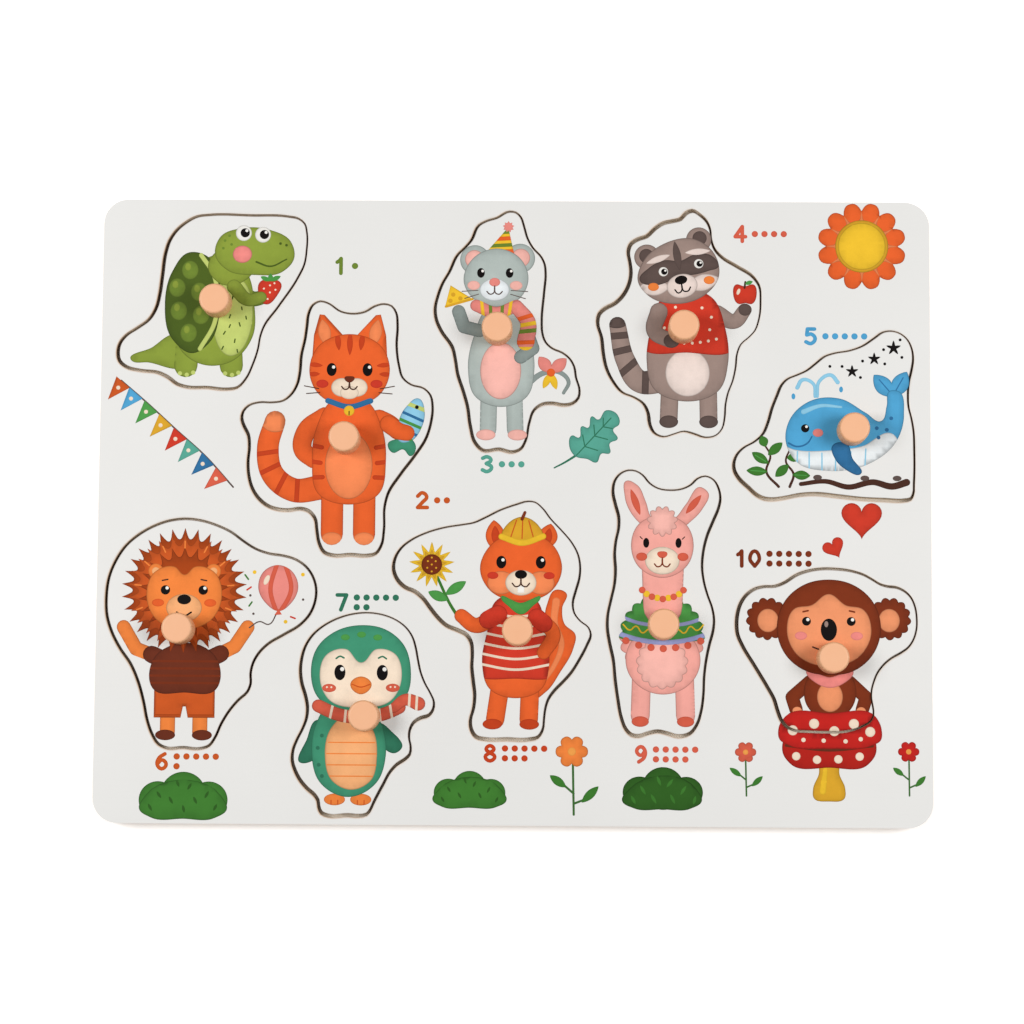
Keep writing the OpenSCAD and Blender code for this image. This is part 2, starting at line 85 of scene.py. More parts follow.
print("camera and light are up")


# ---- materials
# Adds one node and gives back its first live output. Settings are the node's own properties. Inputs are constants
# or the sockets that feed it, by name, or as i and the socket's number
def addNode(tree, kind, settings=None, **inputs):
    node = tree.nodes.new("ShaderNode" + kind)
    for key, value in (settings or {}).items():
        setattr(node, key, value)
    for key, value in inputs.items():
        socket = node.inputs[int(key[1:]) if key[1:].isdigit() else key.replace("_", " ")]
        if isinstance(value, bpy.types.NodeSocket):
            tree.links.new(value, socket)
        else:
            socket.default_value = value
    return next((output for output in node.outputs if output.enabled), None)


# An empty material, addNode for its tree, and its object coordinates and normal
def freshMaterial(name):
    material = bpy.data.materials.new(name)
    material.use_nodes = True
    material.node_tree.nodes.clear()
    add = functools.partial(addNode, material.node_tree)
    place = add("TexCoord").node.outputs
    return material, add, place["Object"], place["Normal"]


rgba = {"data_type": "RGBA"}  # sets a Mix node to colours: i0 is the share of the second, i6 and i7 are the two


# Birch plywood primed white and printed by UV inkjet, then cut by laser: a satin, very faintly uneven white on
# top, scorched brown veneer edges with darker glue lines, and bare veneer below. Below their top 1 mm the edges
# that face the back or the front are much paler: painted light, for cut walls lit along their length by the
# lamps at the left and right
def uvPrimedPlywood(name, edgePale, edgeScorched, edgePaintedLight):
    material, add, spot, normal = freshMaterial(name)
    axes = add("SeparateXYZ", Vector=normal).node.outputs
    level = add("SeparateXYZ", Vector=spot).node.outputs[2]
    fibres = add("Mapping", Vector=spot, Scale=(40, 900, 900))                 # 25 mm by 1.1 mm
    grain = add("TexNoise", Vector=fibres, Scale=1.0, Detail=4.0, Roughness=0.6)
    cloud = add("TexNoise", Vector=spot, Scale=28.0, Detail=2.0)               # 35 mm clouds
    speck = add("TexNoise", Vector=spot, Scale=2600.0, Detail=2.0)             # 0.4 mm stipple
    white = add("Mix", rgba, i0=cloud, i6=linear("dfdedb"), i7=linear("e9e8e5"))
    speckShare = add("MapRange", i0=speck, i1=0.3, i2=0.7)
    white = add("Mix", rgba, i0=speckShare, i6=white, i7=linear("e4e3e0"))
    grainShare = add("MapRange", i0=grain, i1=0.55, i2=0.9, i4=0.12)
    white = add("Mix", rgba, i0=grainShare, i6=white, i7=linear("dad8d3"))
    veneer = add("Mix", rgba, i0=grain, i6=linear("b98f62"), i7=linear("dcb98c"))
    streaks = add("Mapping", Vector=spot, Scale=(500, 500, 60))                # 2 mm burn streaks
    streaks = add("TexNoise", Vector=streaks, Scale=1.0, Detail=3.0)
    burn = add("MapRange", i0=level, i1=0.0028, i2=0.0081)                     # the laser came from above
    burn = add("Math", {"operation": "MULTIPLY_ADD"}, i0=streaks, i1=0.3, i2=burn)
    burn = add("MapRange", i0=burn, i1=0.25, i2=1.15, i3=0.2, i4=1.0)
    # painted light: cut walls that face the back or front, lit along their length in the gaps, are made paler
    along = add("Math", {"operation": "ABSOLUTE"}, i0=axes[1])
    along = add("MapRange", i0=along, i1=0.4, i2=0.85)
    along = add("MapRange", i0=level, i1=0.0068, i2=0.0077, i3=along, i4=0.0)  # the top 1 mm is scorched all round
    layers = add("Math", {"operation": "PINGPONG"}, i0=level, i1=0.00084)      # veneers 1.7 mm
    glue = add("MapRange", i0=layers, i1=0.0, i2=0.00016, i3=0.6, i4=0.0)
    edge = add("Mix", rgba, i0=burn, i6=linear(edgePale), i7=linear(edgeScorched))
    edge = add("Mix", rgba, i0=along, i6=edge, i7=linear(edgePaintedLight))
    edge = add("Mix", rgba, i0=glue, i6=edge, i7=linear("6b4a2e"))
    up = add("MapRange", i0=axes[2], i1=0.9, i2=0.97)
    down = add("MapRange", i0=axes[2], i1=-0.6, i2=-0.95)
    colour = add("Mix", rgba, i0=up, i6=edge, i7=white)
    colour = add("Mix", rgba, i0=down, i6=colour, i7=veneer)
    rough = add("MapRange", i0=up, i3=0.78, i4=0.46)
    relief = add("Math", {"operation": "ADD"}, i0=grain, i1=speck)
    bump = add("Bump", Strength=0.12, Distance=0.0002, Height=relief)
    shader = add("BsdfPrincipled", Base_Color=colour, Roughness=rough, Normal=bump, IOR=1.5,
                 Specular_IOR_Level=0.35)
    add("OutputMaterial", Surface=shader)
    return material


# Raw rotary-cut birch plywood, sanded: pale straw with long soft figure, open fine pores, edge veneers that
# alternate light and dark, and a whitish top face, painted lighter so that the floors of the cuts look lit
def rawBirchPlywood(name):
    material, add, spot, normal = freshMaterial(name)
    up = add("SeparateXYZ", Vector=normal).node.outputs[2]
    level = add("SeparateXYZ", Vector=spot).node.outputs[2]
    figure = add("Mapping", Vector=spot, Scale=(9, 60, 60))                    # 110 mm by 17 mm
    figure = add("TexNoise", Vector=figure, Scale=1.0, Detail=3.0, Distortion=1.2)
    fibres = add("Mapping", Vector=spot, Scale=(60, 1300, 1300))               # 17 mm by 0.8 mm
    grain = add("TexNoise", Vector=fibres, Scale=1.0, Detail=4.0, Roughness=0.65)
    rings = add("Math", {"operation": "MULTIPLY"}, i0=figure, i1=14.0)
    rings = add("Math", {"operation": "FRACT"}, i0=rings)
    figureShare = add("MapRange", i0=figure, i1=0.3, i2=0.7)
    ringShare = add("MapRange", i0=rings, i1=0.7, i2=1.0, i4=0.4)
    poreShare = add("MapRange", i0=grain, i1=0.55, i2=0.8, i4=0.5)
    # painted light: the face that looks up through the cuts is whitened so that the gap floors look lit
    litFloorShare = add("MapRange", i0=up, i1=0.9, i2=0.97, i4=0.85)
    wood = add("Mix", rgba, i0=figureShare, i6=linear("e2c499"), i7=linear("cfa878"))
    wood = add("Mix", rgba, i0=ringShare, i6=wood, i7=linear("b98d5c"))
    wood = add("Mix", rgba, i0=poreShare, i6=wood, i7=linear("b3875a"))
    wood = add("Mix", rgba, i0=litFloorShare, i6=wood, i7=linear("f1ebe1"))
    layers = add("Math", {"operation": "PINGPONG"}, i0=level, i1=0.0010)       # veneers 1 mm
    dark = add("MapRange", i0=layers, i1=0.0004, i2=0.0006, i4=0.65)
    edge = add("Mix", rgba, i0=dark, i6=linear("d6b285"), i7=linear("9c7249"))
    flat = add("Math", {"operation": "ABSOLUTE"}, i0=up)
    flat = add("MapRange", i0=flat, i1=0.7, i2=0.9)
    colour = add("Mix", rgba, i0=flat, i6=edge, i7=wood)
    bump = add("Bump", Strength=0.25, Distance=0.0003, Height=grain)
    shader = add("BsdfPrincipled", Base_Color=colour, Roughness=0.68, Normal=bump, Specular_IOR_Level=0.3)
    add("OutputMaterial", Surface=shader)
    return material


# Turned beech with a thin matt lacquer: a warm pinkish cream, end grain on top with soft clouds and short faint
# ray flecks, and straight grain down the sides, which are painted darker than the top as painted shade
def turnedBeech(name):
    material, add, spot, normal = freshMaterial(name)
    up = add("SeparateXYZ", Vector=normal).node.outputs[2]
    fibres = add("Mapping", Vector=spot, Scale=(1500, 1500, 90))               # 0.7 mm by 11 mm
    grain = add("TexNoise", Vector=fibres, Scale=1.0, Detail=4.0, Roughness=0.6)
    cloud = add("TexNoise", Vector=spot, Scale=260.0, Detail=2.0)              # 4 mm clouds
    flecks = add("Mapping", Vector=spot, Rotation=(0, 0, 0.9), Scale=(700, 3600, 700))  # 1.4 mm by 0.3 mm
    flecks = add("TexNoise", Vector=flecks, Scale=1.0, Detail=2.0)
    grainShare = add("MapRange", i0=grain, i1=0.35, i2=0.7)
    cloudShare = add("MapRange", i0=cloud, i4=0.75)
    fleckShare = add("MapRange", i0=flecks, i1=0.6, i2=0.8, i4=0.15)
    topShare = add("MapRange", i0=up, i1=0.75, i2=0.97)
    # painted shade: the sides are painted darker than the top
    side = add("Mix", rgba, i0=grainShare, i6=linear("e6af83"), i7=linear("ce9467"))
    end = add("Mix", rgba, i0=cloudShare, i6=linear("f1b78e"), i7=linear("eeb187"))
    end = add("Mix", rgba, i0=fleckShare, i6=end, i7=linear("e3a97d"))
    colour = add("Mix", rgba, i0=topShare, i6=side, i7=end)
    bump = add("Bump", Strength=0.15, Distance=0.0002, Height=grain)
    shader = add("BsdfPrincipled", Base_Color=colour, Roughness=0.5, Normal=bump, Specular_IOR_Level=0.4,
                 Coat_Weight=0.12, Coat_Roughness=0.4)
    add("OutputMaterial", Surface=shader)
    return material


# UV-cured inkjet ink on the primer: a satin film whose colour comes from the print's own attribute, with the
# printer's 0.4 mm grain and a slow 5 mm mottle
def uvCuredInk(name):
    material, add, spot, _ = freshMaterial(name)
    ink = add("Attribute", {"attribute_name": "ink"})
    mottle = add("TexNoise", Vector=spot, Scale=190.0, Detail=3.0)
    grain = add("TexNoise", Vector=spot, Scale=2400.0, Detail=2.0)
    shade = add("Math", {"operation": "MULTIPLY_ADD"}, i0=mottle, i1=0.22, i2=0.83)
    shade = add("Math", {"operation": "MULTIPLY_ADD"}, i0=grain, i1=0.12, i2=shade)
    colour = add("VectorMath", {"operation": "SCALE"}, i0=ink, Scale=shade)
    rough = add("MapRange", i0=mottle, i3=0.42, i4=0.54)
    bump = add("Bump", Strength=0.08, Distance=0.0001, Height=grain)
    shader = add("BsdfPrincipled", Base_Color=colour, Roughness=rough, Normal=bump, Specular_IOR_Level=0.12)
    add("OutputMaterial", Surface=shader)
    return material


# Seamless studio paper: matt white with a barely visible tooth
def studioPaper(name):
    material, add, spot, _ = freshMaterial(name)
    tooth = add("TexNoise", Vector=spot, Scale=1200.0, Detail=2.0)             # 0.8 mm
    bump = add("Bump", Strength=0.05, Distance=0.0002, Height=tooth)
    shader = add("BsdfPrincipled", Base_Color=linear("ffffff"), Roughness=0.95, Normal=bump, Specular_IOR_Level=0.0,
                 Emission_Color=(1, 1, 1, 1), Emission_Strength=0.25)
    add("OutputMaterial", Surface=shader)
    return material


bpy.ops.mesh.primitive_plane_add(size=studio["floorSize"])
floor = bpy.context.object
floor.name = "studioFloor"
floor.data.materials.append(studioPaper("studioPaper"))

# One plywood in two copies: the pieces' cut edges darker, as painted shade in the narrow gaps, and the board's
# socket walls pale tan, as painted light on walls lit through the wider gaps
coats = {"piece": uvPrimedPlywood("uvPrimedPiecesPaintedShade", "94694a", "2f1c11", "f3e6d2"),
         "face_board": uvPrimedPlywood("uvPrimedBoardPaintedLight", "e6cdb0", "d8b892", "f6ecdd"),
         "backing_board": rawBirchPlywood("rawBirchPlywood"), "peg": turnedBeech("turnedBeech")}
inkFilm = uvCuredInk("uvCuredInk")
arris = {"width": 0.12, "segments": 2, "angle": 50, "weld": 0.002}  # mm and degrees, the edges broken by sanding
for name, node in nodes.items():
    for row in node.material_slots:
        row.material = coats.get(name) or coats[name.split("_")[1]]
    node.modifiers.new("weld", "WELD").merge_threshold = arris["weld"] * mm
    if not name.endswith("_peg"):
        bevel = node.modifiers.new("arris", "BEVEL")
        bevel.width, bevel.segments = arris["width"] * mm, arris["segments"]
        bevel.limit_method, bevel.angle_limit = "ANGLE", math.radians(arris["angle"])
print("CAD parts have their finishes")


# ---- drawing kit for the prints, in millimetres on the printed face
fine = {
    "step": 0.6, "fewest": 3, "most": 14,                # mm, and points from one given point to the next
    "perMm": 3, "more": 8, "least": 12,                  # points round an oval, by its two half axes
    "end": 9, "leaf": 15, "lobe": 10, "heart": 48,       # points
}


# A smooth line: between two points runs a cubic whose ends follow the circle through a point and its neighbours
def smoothLine(points, closed=True):
    p = np.array(points, float).reshape(-1, 2)
    if len(p) == 2:
        p = np.array([p[0], (p[0] + p[1]) / 2, p[1]])
    q = np.roll(p, -1, 0)
    chord = np.linalg.norm(q - p, axis=1)[:, None]
    unit = (q - p) / chord
    before, beforeChord = np.roll(unit, 1, 0), np.roll(chord, 1, 0)
    heading = before * chord + unit * beforeChord
    if not closed:
        heading[0], heading[-1] = unit[0], before[-1]
    heading /= np.linalg.norm(heading, axis=1)[:, None]
    steps = min(fine["most"], max(fine["fewest"], math.ceil(np.median(chord) / fine["step"])))
    t = np.arange(steps)[None, :, None] / steps
    a, b = (heading * chord)[:, None], (np.roll(heading, -1, 0) * chord)[:, None]
    path = (p[:, None] * (2 * t**3 - 3 * t**2 + 1) + a * (t**3 - 2 * t**2 + t)
            + q[:, None] * (3 * t**2 - 2 * t**3) + b * (t**3 - t**2))
    return path.reshape(-1, 2) if closed else np.vstack([path[:-1].reshape(-1, 2), p[-1:]])


# Points across and up, turned about the origin by the cosine and sine of an angle, then moved to their place
def turnedTo(x, y, across, up, degrees):
    c, s = math.cos(math.radians(degrees)), math.sin(math.radians(degrees))
    return np.stack([x + across * c - up * s, y + across * s + up * c], 1)


# One smooth closed loop, or one with straight sides
def blob(*points):
    return [smoothLine(points)]


def corners(*points):
    return [np.array(points, float).reshape(-1, 2)]


# An ellipse: its centre plus two half axes times cosine and sine, turned about the centre. Ovals and dots are
# several of one size, each given by its centre
def oval(x, y, halfWidth, halfHeight, degrees=0):
    count = max(fine["least"], int(fine["perMm"] * (halfWidth + halfHeight)) + fine["more"])
    a = np.linspace(0, 2 * math.pi, count, endpoint=False)
    return [turnedTo(x, y, halfWidth * np.cos(a), halfHeight * np.sin(a), degrees)]


def ovals(halfWidth, halfHeight, *places):
    return [oval(x, y, halfWidth, halfHeight)[0] for x, y in np.reshape(places, (-1, 2))]


def dots(radius, *places):
    return ovals(radius, radius, *places)


# A stroke with round ends: a smooth line moved aside by half its width, which changes evenly along it. Lines are
# several straight ones of one width, each given by its two ends
def line(width, endWidth, *points):
    spine = smoothLine(points, closed=False)
    along = np.gradient(spine, axis=0)
    along /= np.linalg.norm(along, axis=1)[:, None]
    aside = np.stack([along[:, 1], -along[:, 0]], 1)
    half = np.linspace(width, endWidth, len(spine))[:, None] / 2
    a = np.linspace(0, math.pi, fine["end"])[1:-1, None]
    endCap = spine[-1] + half[-1] * (aside[-1] * np.cos(a) + along[-1] * np.sin(a))
    startCap = spine[0] - half[0] * (aside[0] * np.cos(a) + along[0] * np.sin(a))
    return [np.vstack([spine + aside * half, endCap, (spine - aside * half)[::-1], startCap])]


def lines(width, *ends):
    return [line(width, width, *four)[0] for four in np.reshape(ends, (-1, 4))]


# A leaf or petal: half its width times the sine of the way along, to the power 0.8
def leaves(width, *ends):
    shapes = []
    for x0, y0, x1, y1 in np.reshape(ends, (-1, 4)):
        t = np.linspace(0, 1, fine["leaf"])[:, None]
        aside = np.array([y1 - y0, x0 - x1]) / math.hypot(x1 - x0, y1 - y0)
        half = width / 2 * np.sin(math.pi * t) ** 0.8 * aside
        spine = np.array([x0, y0]) + np.array([x1 - x0, y1 - y0]) * t
        shapes.append(np.vstack([spine + half, (spine - half)[-2:0:-1]]))
    return shapes


# A ring of points, or of round lobes where the first radius is the larger: the radius runs between the two
# with one less the size of the sine, a number of times round
def burst(x, y, inner, outer, count, sharp=1.0):
    a = np.linspace(0, 2 * math.pi, count * fine["lobe"], endpoint=False)
    r = inner + (outer - inner) * (1 - np.abs(np.sin(a * count / 2))) ** sharp
    return [np.stack([x + r * np.sin(a), y + r * np.cos(a)], 1)]


# A heart: across with the cube of the sine, up with four cosines of growing pitch, 32 wide before it is scaled
def heart(x, y, width, degrees):
    a = np.linspace(0, 2 * math.pi, fine["heart"], endpoint=False)
    across = 16 * np.sin(a) ** 3
    up = 13 * np.cos(a) - 5 * np.cos(2 * a) - 2 * np.cos(3 * a) - np.cos(4 * a)
    return [turnedTo(x, y, width / 32 * across, width / 32 * up, degrees)]


shapeKinds = {kind.__name__: kind for kind in (blob, corners, oval, ovals, dots, line, lines, leaves, burst, heart)}


# True for each point that the loops wind round: edges that pass to its right, upward ones less downward ones
def inLoops(points, loops):
    found = np.zeros(len(points), bool)
    x, y = points[:, 0, None], points[:, 1, None]
    for loop in loops:
        a, b = loop[None], np.roll(loop, -1, 0)[None]
        above, aboveNext = a[..., 1] > y, b[..., 1] > y
        rise = np.where(b[..., 1] == a[..., 1], 1.0, b[..., 1] - a[..., 1])
        right = a[..., 0] + (y - a[..., 1]) / rise * (b[..., 0] - a[..., 0]) > x
        found |= (right & ~above & aboveNext).sum(1) != (right & above & ~aboveNext).sum(1)
    return found


# True for each point that lies in one of the triangles, by the signs of the three cross products
def inTriangles(points, triangles):
    a, b = triangles, np.roll(triangles, -1, 1)
    side = (b[..., 0] - a[..., 0]) * (points[:, None, None, 1] - a[..., 1]) \
        - (b[..., 1] - a[..., 1]) * (points[:, None, None, 0] - a[..., 0])
    return ((side >= 0).all(-1) | (side <= 0).all(-1)).any(-1)


# The edges that only one of the triangles has, by the numbers of their two points
def openEdges(triangles, count):
    pairs = np.vstack([triangles[:, [0, 1]], triangles[:, [1, 2]], triangles[:, [2, 0]]])
    return pairs[~np.isin(pairs[:, 0] * count + pairs[:, 1], pairs[:, 1] * count + pairs[:, 0])]


# The top face of a CAD node, all that is within 0.01 mm of its top, in mm: its points, its triangles by number,
# and its open edges
def topFace(node):
    spots = np.empty(len(node.data.vertices) * 3)
    node.data.vertices.foreach_get("co", spots)
    corner = np.empty(len(node.data.polygons) * 3, int)
    node.data.polygons.foreach_get("vertices", corner)
    spots, index = np.unique(np.round(spots.reshape(-1, 3) / mm, 3), axis=0, return_inverse=True)
    triangles = index.ravel()[corner.reshape(-1, 3)]
    triangles = triangles[(spots[triangles][..., 2] > spots[:, 2].max() - 0.01).all(1)]
    return spots[:, :2], triangles, openEdges(triangles, len(spots))


# Twice a loop's area over its length, which is the width of a strip or the radius of a disc, with the area's sign
def breadth(loop):
    ahead = np.roll(loop, -1, 0)
    area = (loop[:, 0] * ahead[:, 1] - ahead[:, 0] * loop[:, 1]).sum()
    return area / np.linalg.norm(ahead - loop, axis=1).sum()


# The points of a loop moved inwards, square to the line through the two neighbours
def inset(loop, depth):
    along = np.roll(loop, -1, 0) - np.roll(loop, 1, 0)
    along /= np.linalg.norm(along, axis=1)[:, None] + 1e-9
    return loop + depth * np.sign(breadth(loop)) * np.stack([-along[:, 1], along[:, 0]], 1)


# One row of points or colours for a film: the two or three columns given and one more that is the same all over
def withColumn(columns, value):
    return np.column_stack([columns, np.full(len(columns), value)])


# Puts a mesh of closed films into the scene, with its ink as a colour for each vertex
def addFilms(name, body, spots, faces, colours):
    mesh = bpy.data.meshes.new(name)
    mesh.from_pydata((np.vstack(spots) * mm).tolist(), [], faces)
    mesh.attributes.new("ink", "FLOAT_COLOR", "POINT").data.foreach_set("color", np.vstack(colours).ravel())
    mesh.materials.append(inkFilm)
    sheet = bpy.data.objects.new(name, mesh)
    bpy.context.collection.objects.link(sheet)
    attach(sheet, body)
    print(name, "has", len(faces), "faces")


# The middle of a piece's peg, and the lower left corner of its cut line: the piece's box with half the cut round it
def pegSpot(pieceName):
    low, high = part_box(pieceName.replace("_piece", "_peg"))
    return np.array(low + high)[:2] / 2 / mm


def pieceCorner(animal):
    return np.array(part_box(animal + "_piece")[0])[:2] / mm - cut["width"] / 2


cut = {
    "width": 0.9, "boardCorner": 9.0,  # mm, the laser's cut and the board's corners
    "bore": 3.6, "slack": 0.1,         # mm, no scorch this near to a peg's middle or to the board's outline
}
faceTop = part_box("face_board")[1].z / mm
film = {
    "step": 0.012, "sunk": 0.02, "mesh": 2.2, "margin": 1, "inset": 0.4, "weld": 1e-4,  # mm
    "broad": 3.5, "narrow": 0.3,       # mm where the rim has its full shade, and the share that needs no inset
    "rim": 0.28, "rimShade": 0.46,     # mm and share, the dark line round a shape
    "fade": 2.2, "fadeShade": 0.12,    # mm and share, the slow darkening behind it
    "fall": 0.05,                      # share, how much lighter the top of a shape is than its foot
}
# The board's tan band and the pieces' dark brown band: partly laser scorch, partly painted light on the board and
# painted shade on the pieces
scorchAndPaintedLight = {
    "board": (0.6, "c3a285"), "piece": (0.35, "6d4a30"), "paper": "e6e5e2", "height": 0.006,  # mm and sRGB
    "mean": 0.7, "swing": 0.5, "strongerTowards": (-0.8, -0.6),  # the band is browner where the wood lies to the left of and below the cut: painted light and shade
}


# Scorches the rim of a cut face: a band follows every cut edge, its rows moved into the wood along the mean of
# the two edges' normals, and its colour runs from brown at the cut to the white of the primer. Only part of it is
# scorch: on the board the pale tan band is painted light for socket walls lit through the gap, and on the pieces
# the dark band is painted shade of the gap
def scorchOn(name, body, node, width, brown):
    flat, triangles, rim = topFace(node)
    middle = flat[rim].mean(1)
    if node.name == "face_board":
        half = np.abs(flat).max(0)
        corner = np.hypot(*np.maximum(np.abs(middle) - half + cut["boardCorner"], 0).T)
        rim = rim[(np.abs(middle) < half - cut["slack"]).all(1) & (corner < cut["boardCorner"] - 2 * cut["slack"])]
    else:
        rim = rim[np.hypot(*(middle - pegSpot(node.name)).T) > cut["bore"]]
    used, rim = np.unique(rim, return_inverse=True)
    rim, flat = rim.reshape(-1, 2), flat[used]
    a, b = rim.T
    along = flat[b] - flat[a]
    inward = np.stack([-along[:, 1], along[:, 0]], 1) / np.linalg.norm(along, axis=1)[:, None]
    normal = np.zeros_like(flat)
    np.add.at(normal, a, inward)
    np.add.at(normal, b, inward)
    normal /= np.linalg.norm(normal, axis=1)[:, None]
    # painted light and shade: browner where the wood lies to the left of and below the cut
    uneven = scorchAndPaintedLight["mean"] + scorchAndPaintedLight["swing"] * (normal @ np.array(scorchAndPaintedLight["strongerTowards"]))
    paper = np.array(linear(scorchAndPaintedLight["paper"])[:3])
    brownness = uneven[:, None] * (linear(brown)[:3] - paper)
    # share of the width, mm over the face, share of the brown
    rows = [(0, scorchAndPaintedLight["height"], 1), (0.3, scorchAndPaintedLight["height"], 0.5), (1, scorchAndPaintedLight["height"], 0),
            (0, -film["sunk"], 1), (1, -film["sunk"], 0)]
    spots = [withColumn(flat + normal * width * shift, faceTop + height) for shift, height, share in rows]
    colours = [withColumn(paper + share * brownness, 1) for shift, height, share in rows]
    quads = [np.stack([a + i * len(flat), b + i * len(flat), b + j * len(flat), a + j * len(flat)], 1)
             for i, j in ((0, 1), (1, 2), (2, 4), (4, 3), (3, 0))]
    addFilms(name, body, spots, np.vstack(quads).tolist(), colours)


scorchOn("board_scorch", "board", nodes["face_board"], *scorchAndPaintedLight["board"])
for animal in animals:
    scorchOn(animal + "_scorch", animal, nodes[animal + "_piece"], *scorchAndPaintedLight["piece"])


# Cuts a shape into triangles along its own loops, the loops that it is clipped to and the open edges of the face,
# with a grid of points and a line of points just inside its own loops, and keeps what lies in all of them
def cutShape(loops, clips, broad, face):
    low, high = np.vstack(loops).min(0), np.vstack(loops).max(0)
    rings = sum(clips, loops)
    points = np.vstack(rings)
    numbers = np.split(np.arange(len(points)), np.cumsum([len(ring) for ring in rings])[:-1])
    edges = np.vstack([np.stack([k, np.roll(k, -1)], 1) for k in numbers])
    grid = np.stack(np.meshgrid(*[np.arange(low[i] + film["margin"], high[i], film["mesh"]) for i in (0, 1)]), -1)
    grid = grid.reshape(-1, 2)
    if broad > film["narrow"]:
        grid = np.vstack([grid] + [inset(loop, film["inset"]) for loop in loops])
    grid = grid[inLoops(grid, loops)]
    if face:
        near = ((face["edges"].max(1) > low - 1) & (face["edges"].min(1) < high + 1)).all(1)
        extra = face["edges"][near].reshape(-1, 2)
        edges = np.vstack([edges, len(points) + np.arange(len(extra)).reshape(-1, 2)])
        points = np.vstack([points, extra])
    points = np.vstack([points, grid])
    solved = delaunay_2d_cdt([Vector(p) for p in points], edges.tolist(), [], 0, film["weld"])
    flat, triangles = np.array([tuple(v) for v in solved[0]]), np.array(solved[2])
    middle = flat[triangles].mean(1)
    keep = inLoops(middle, loops)
    for clip in clips:
        keep &= inLoops(middle, clip)
    if face:
        near = ((face["triangles"].max(1) > low) & (face["triangles"].min(1) < high)).all(1)
        keep &= inTriangles(middle, face["triangles"][near])
    used, triangles = np.unique(triangles[keep], return_inverse=True)
    return flat[used], triangles.reshape(-1, 3), middle[keep]


# Prints a picture: each shape takes a level above the earlier ones that it covers, and becomes a closed film whose
# colour darkens towards its rim and its foot. A face to print on cuts the shapes off at its edges
def printOn(name, body, picture, origin, node=None):
    spots, faces, colours, done = [], [], [], []
    face, shapes, start = None, {}, 0
    if node:
        flat, triangles, rim = topFace(node)
        face = {"triangles": flat[triangles] - origin, "edges": flat[rim] - origin}
    for key, (kind, ink, *numbers) in picture.items():
        clips = shapes[numbers.pop()] if isinstance(numbers[-1], str) else []
        loops = shapeKinds[kind](*numbers)
        shapes[key] = [loops] + clips
        low, high = np.vstack(loops).min(0), np.vstack(loops).max(0)
        broad = min(1, np.median([abs(breadth(loop)) for loop in loops]) / film["broad"])
        flat, triangles, middle = cutShape(loops, clips, broad, face)
        if not len(flat):
            continue
        probe = np.vstack([flat, middle])
        under = [level for level, earlier, lowest, highest in done
                 if (highest > low).all() and (lowest < high).all() and inLoops(probe, earlier).any()]
        level = 1 + max(under, default=0)
        done.append((level, loops, low, high))
        count, rim = len(flat), openEdges(triangles, len(flat))
        away = np.sqrt(((flat[:, None] - flat[rim[:, 0]][None]) ** 2).sum(-1)).min(1)
        tone = film["rimShade"] * np.exp(-away / film["rim"]) + film["fadeShade"] * np.exp(-away / film["fade"])
        tone = (1 - broad * tone) * (1 + film["fall"] * ((flat[:, 1] - low[1]) / (high[1] - low[1]) - 0.5))
        colour = withColumn(tone[:, None] * linear(inks[ink])[:3], 1)
        for height, order in ((film["step"] * level, triangles), (-film["sunk"], triangles[:, ::-1])):
            spots.append(withColumn(flat + origin, faceTop + height))
            faces += (order + start).tolist()
            colours.append(colour)
            start += count
        upper, lower = rim + start - 2 * count, rim + start - count
        faces += np.stack([upper[:, 1], upper[:, 0], lower[:, 0], lower[:, 1]], 1).tolist()
    addFilms(name, body, spots, faces, colours)


# ---- the pictures, each from its lowest shape to its highest: the kind of shape, the ink, its own numbers
# in mm from the corner of the piece's cut line, and at the end the shape that it is clipped to, if there is one
inks = {  # sRGB hex
    "black": "0c0505", "white": "f6f3ec", "cream": "f3dfc8", "blush": "f28d86", "red": "cf3a26", "lime": "8a9c3a",
    "moss": "4a5e1c", "olive": "6f8730", "pale lime": "c3d173", "orange": "e8622a", "apricot": "f58a55",
    "rust": "c7421b", "teal": "3f9170", "deep teal": "2f7459", "grey": "afb9b4", "dark grey": "8d9894",
    "rose": "f6b8ac", "yellow": "efc02f", "gold": "dba52a", "taupe": "9b857c", "umber": "5e4e49",
    "sand": "ead8cf", "blue": "4fa3d1", "deep blue": "2f6f9f", "sky": "8fcbe6", "foam": "eaf0f2",
    "green": "3e7a2d", "leaf": "4d9a48", "bark": "4a2a1e", "quill": "c9561e", "deep quill": "a8430f",
    "fawn": "f0843c", "peach": "f3b078", "plum": "6b2d18", "pink": "f2a79b", "deep pink": "e88a80",
    "brick": "d95f47", "lilac": "9fa6d6", "brown": "7c3012", "tan": "ee9668", "deep red": "b01e14",
    "crimson": "c3201a", "pale orange": "f0a04c", "stalk": "3f6b33", "leaf green": "3c7a2c", "sea": "58a592",
    "bottle": "2f5e1f",
}

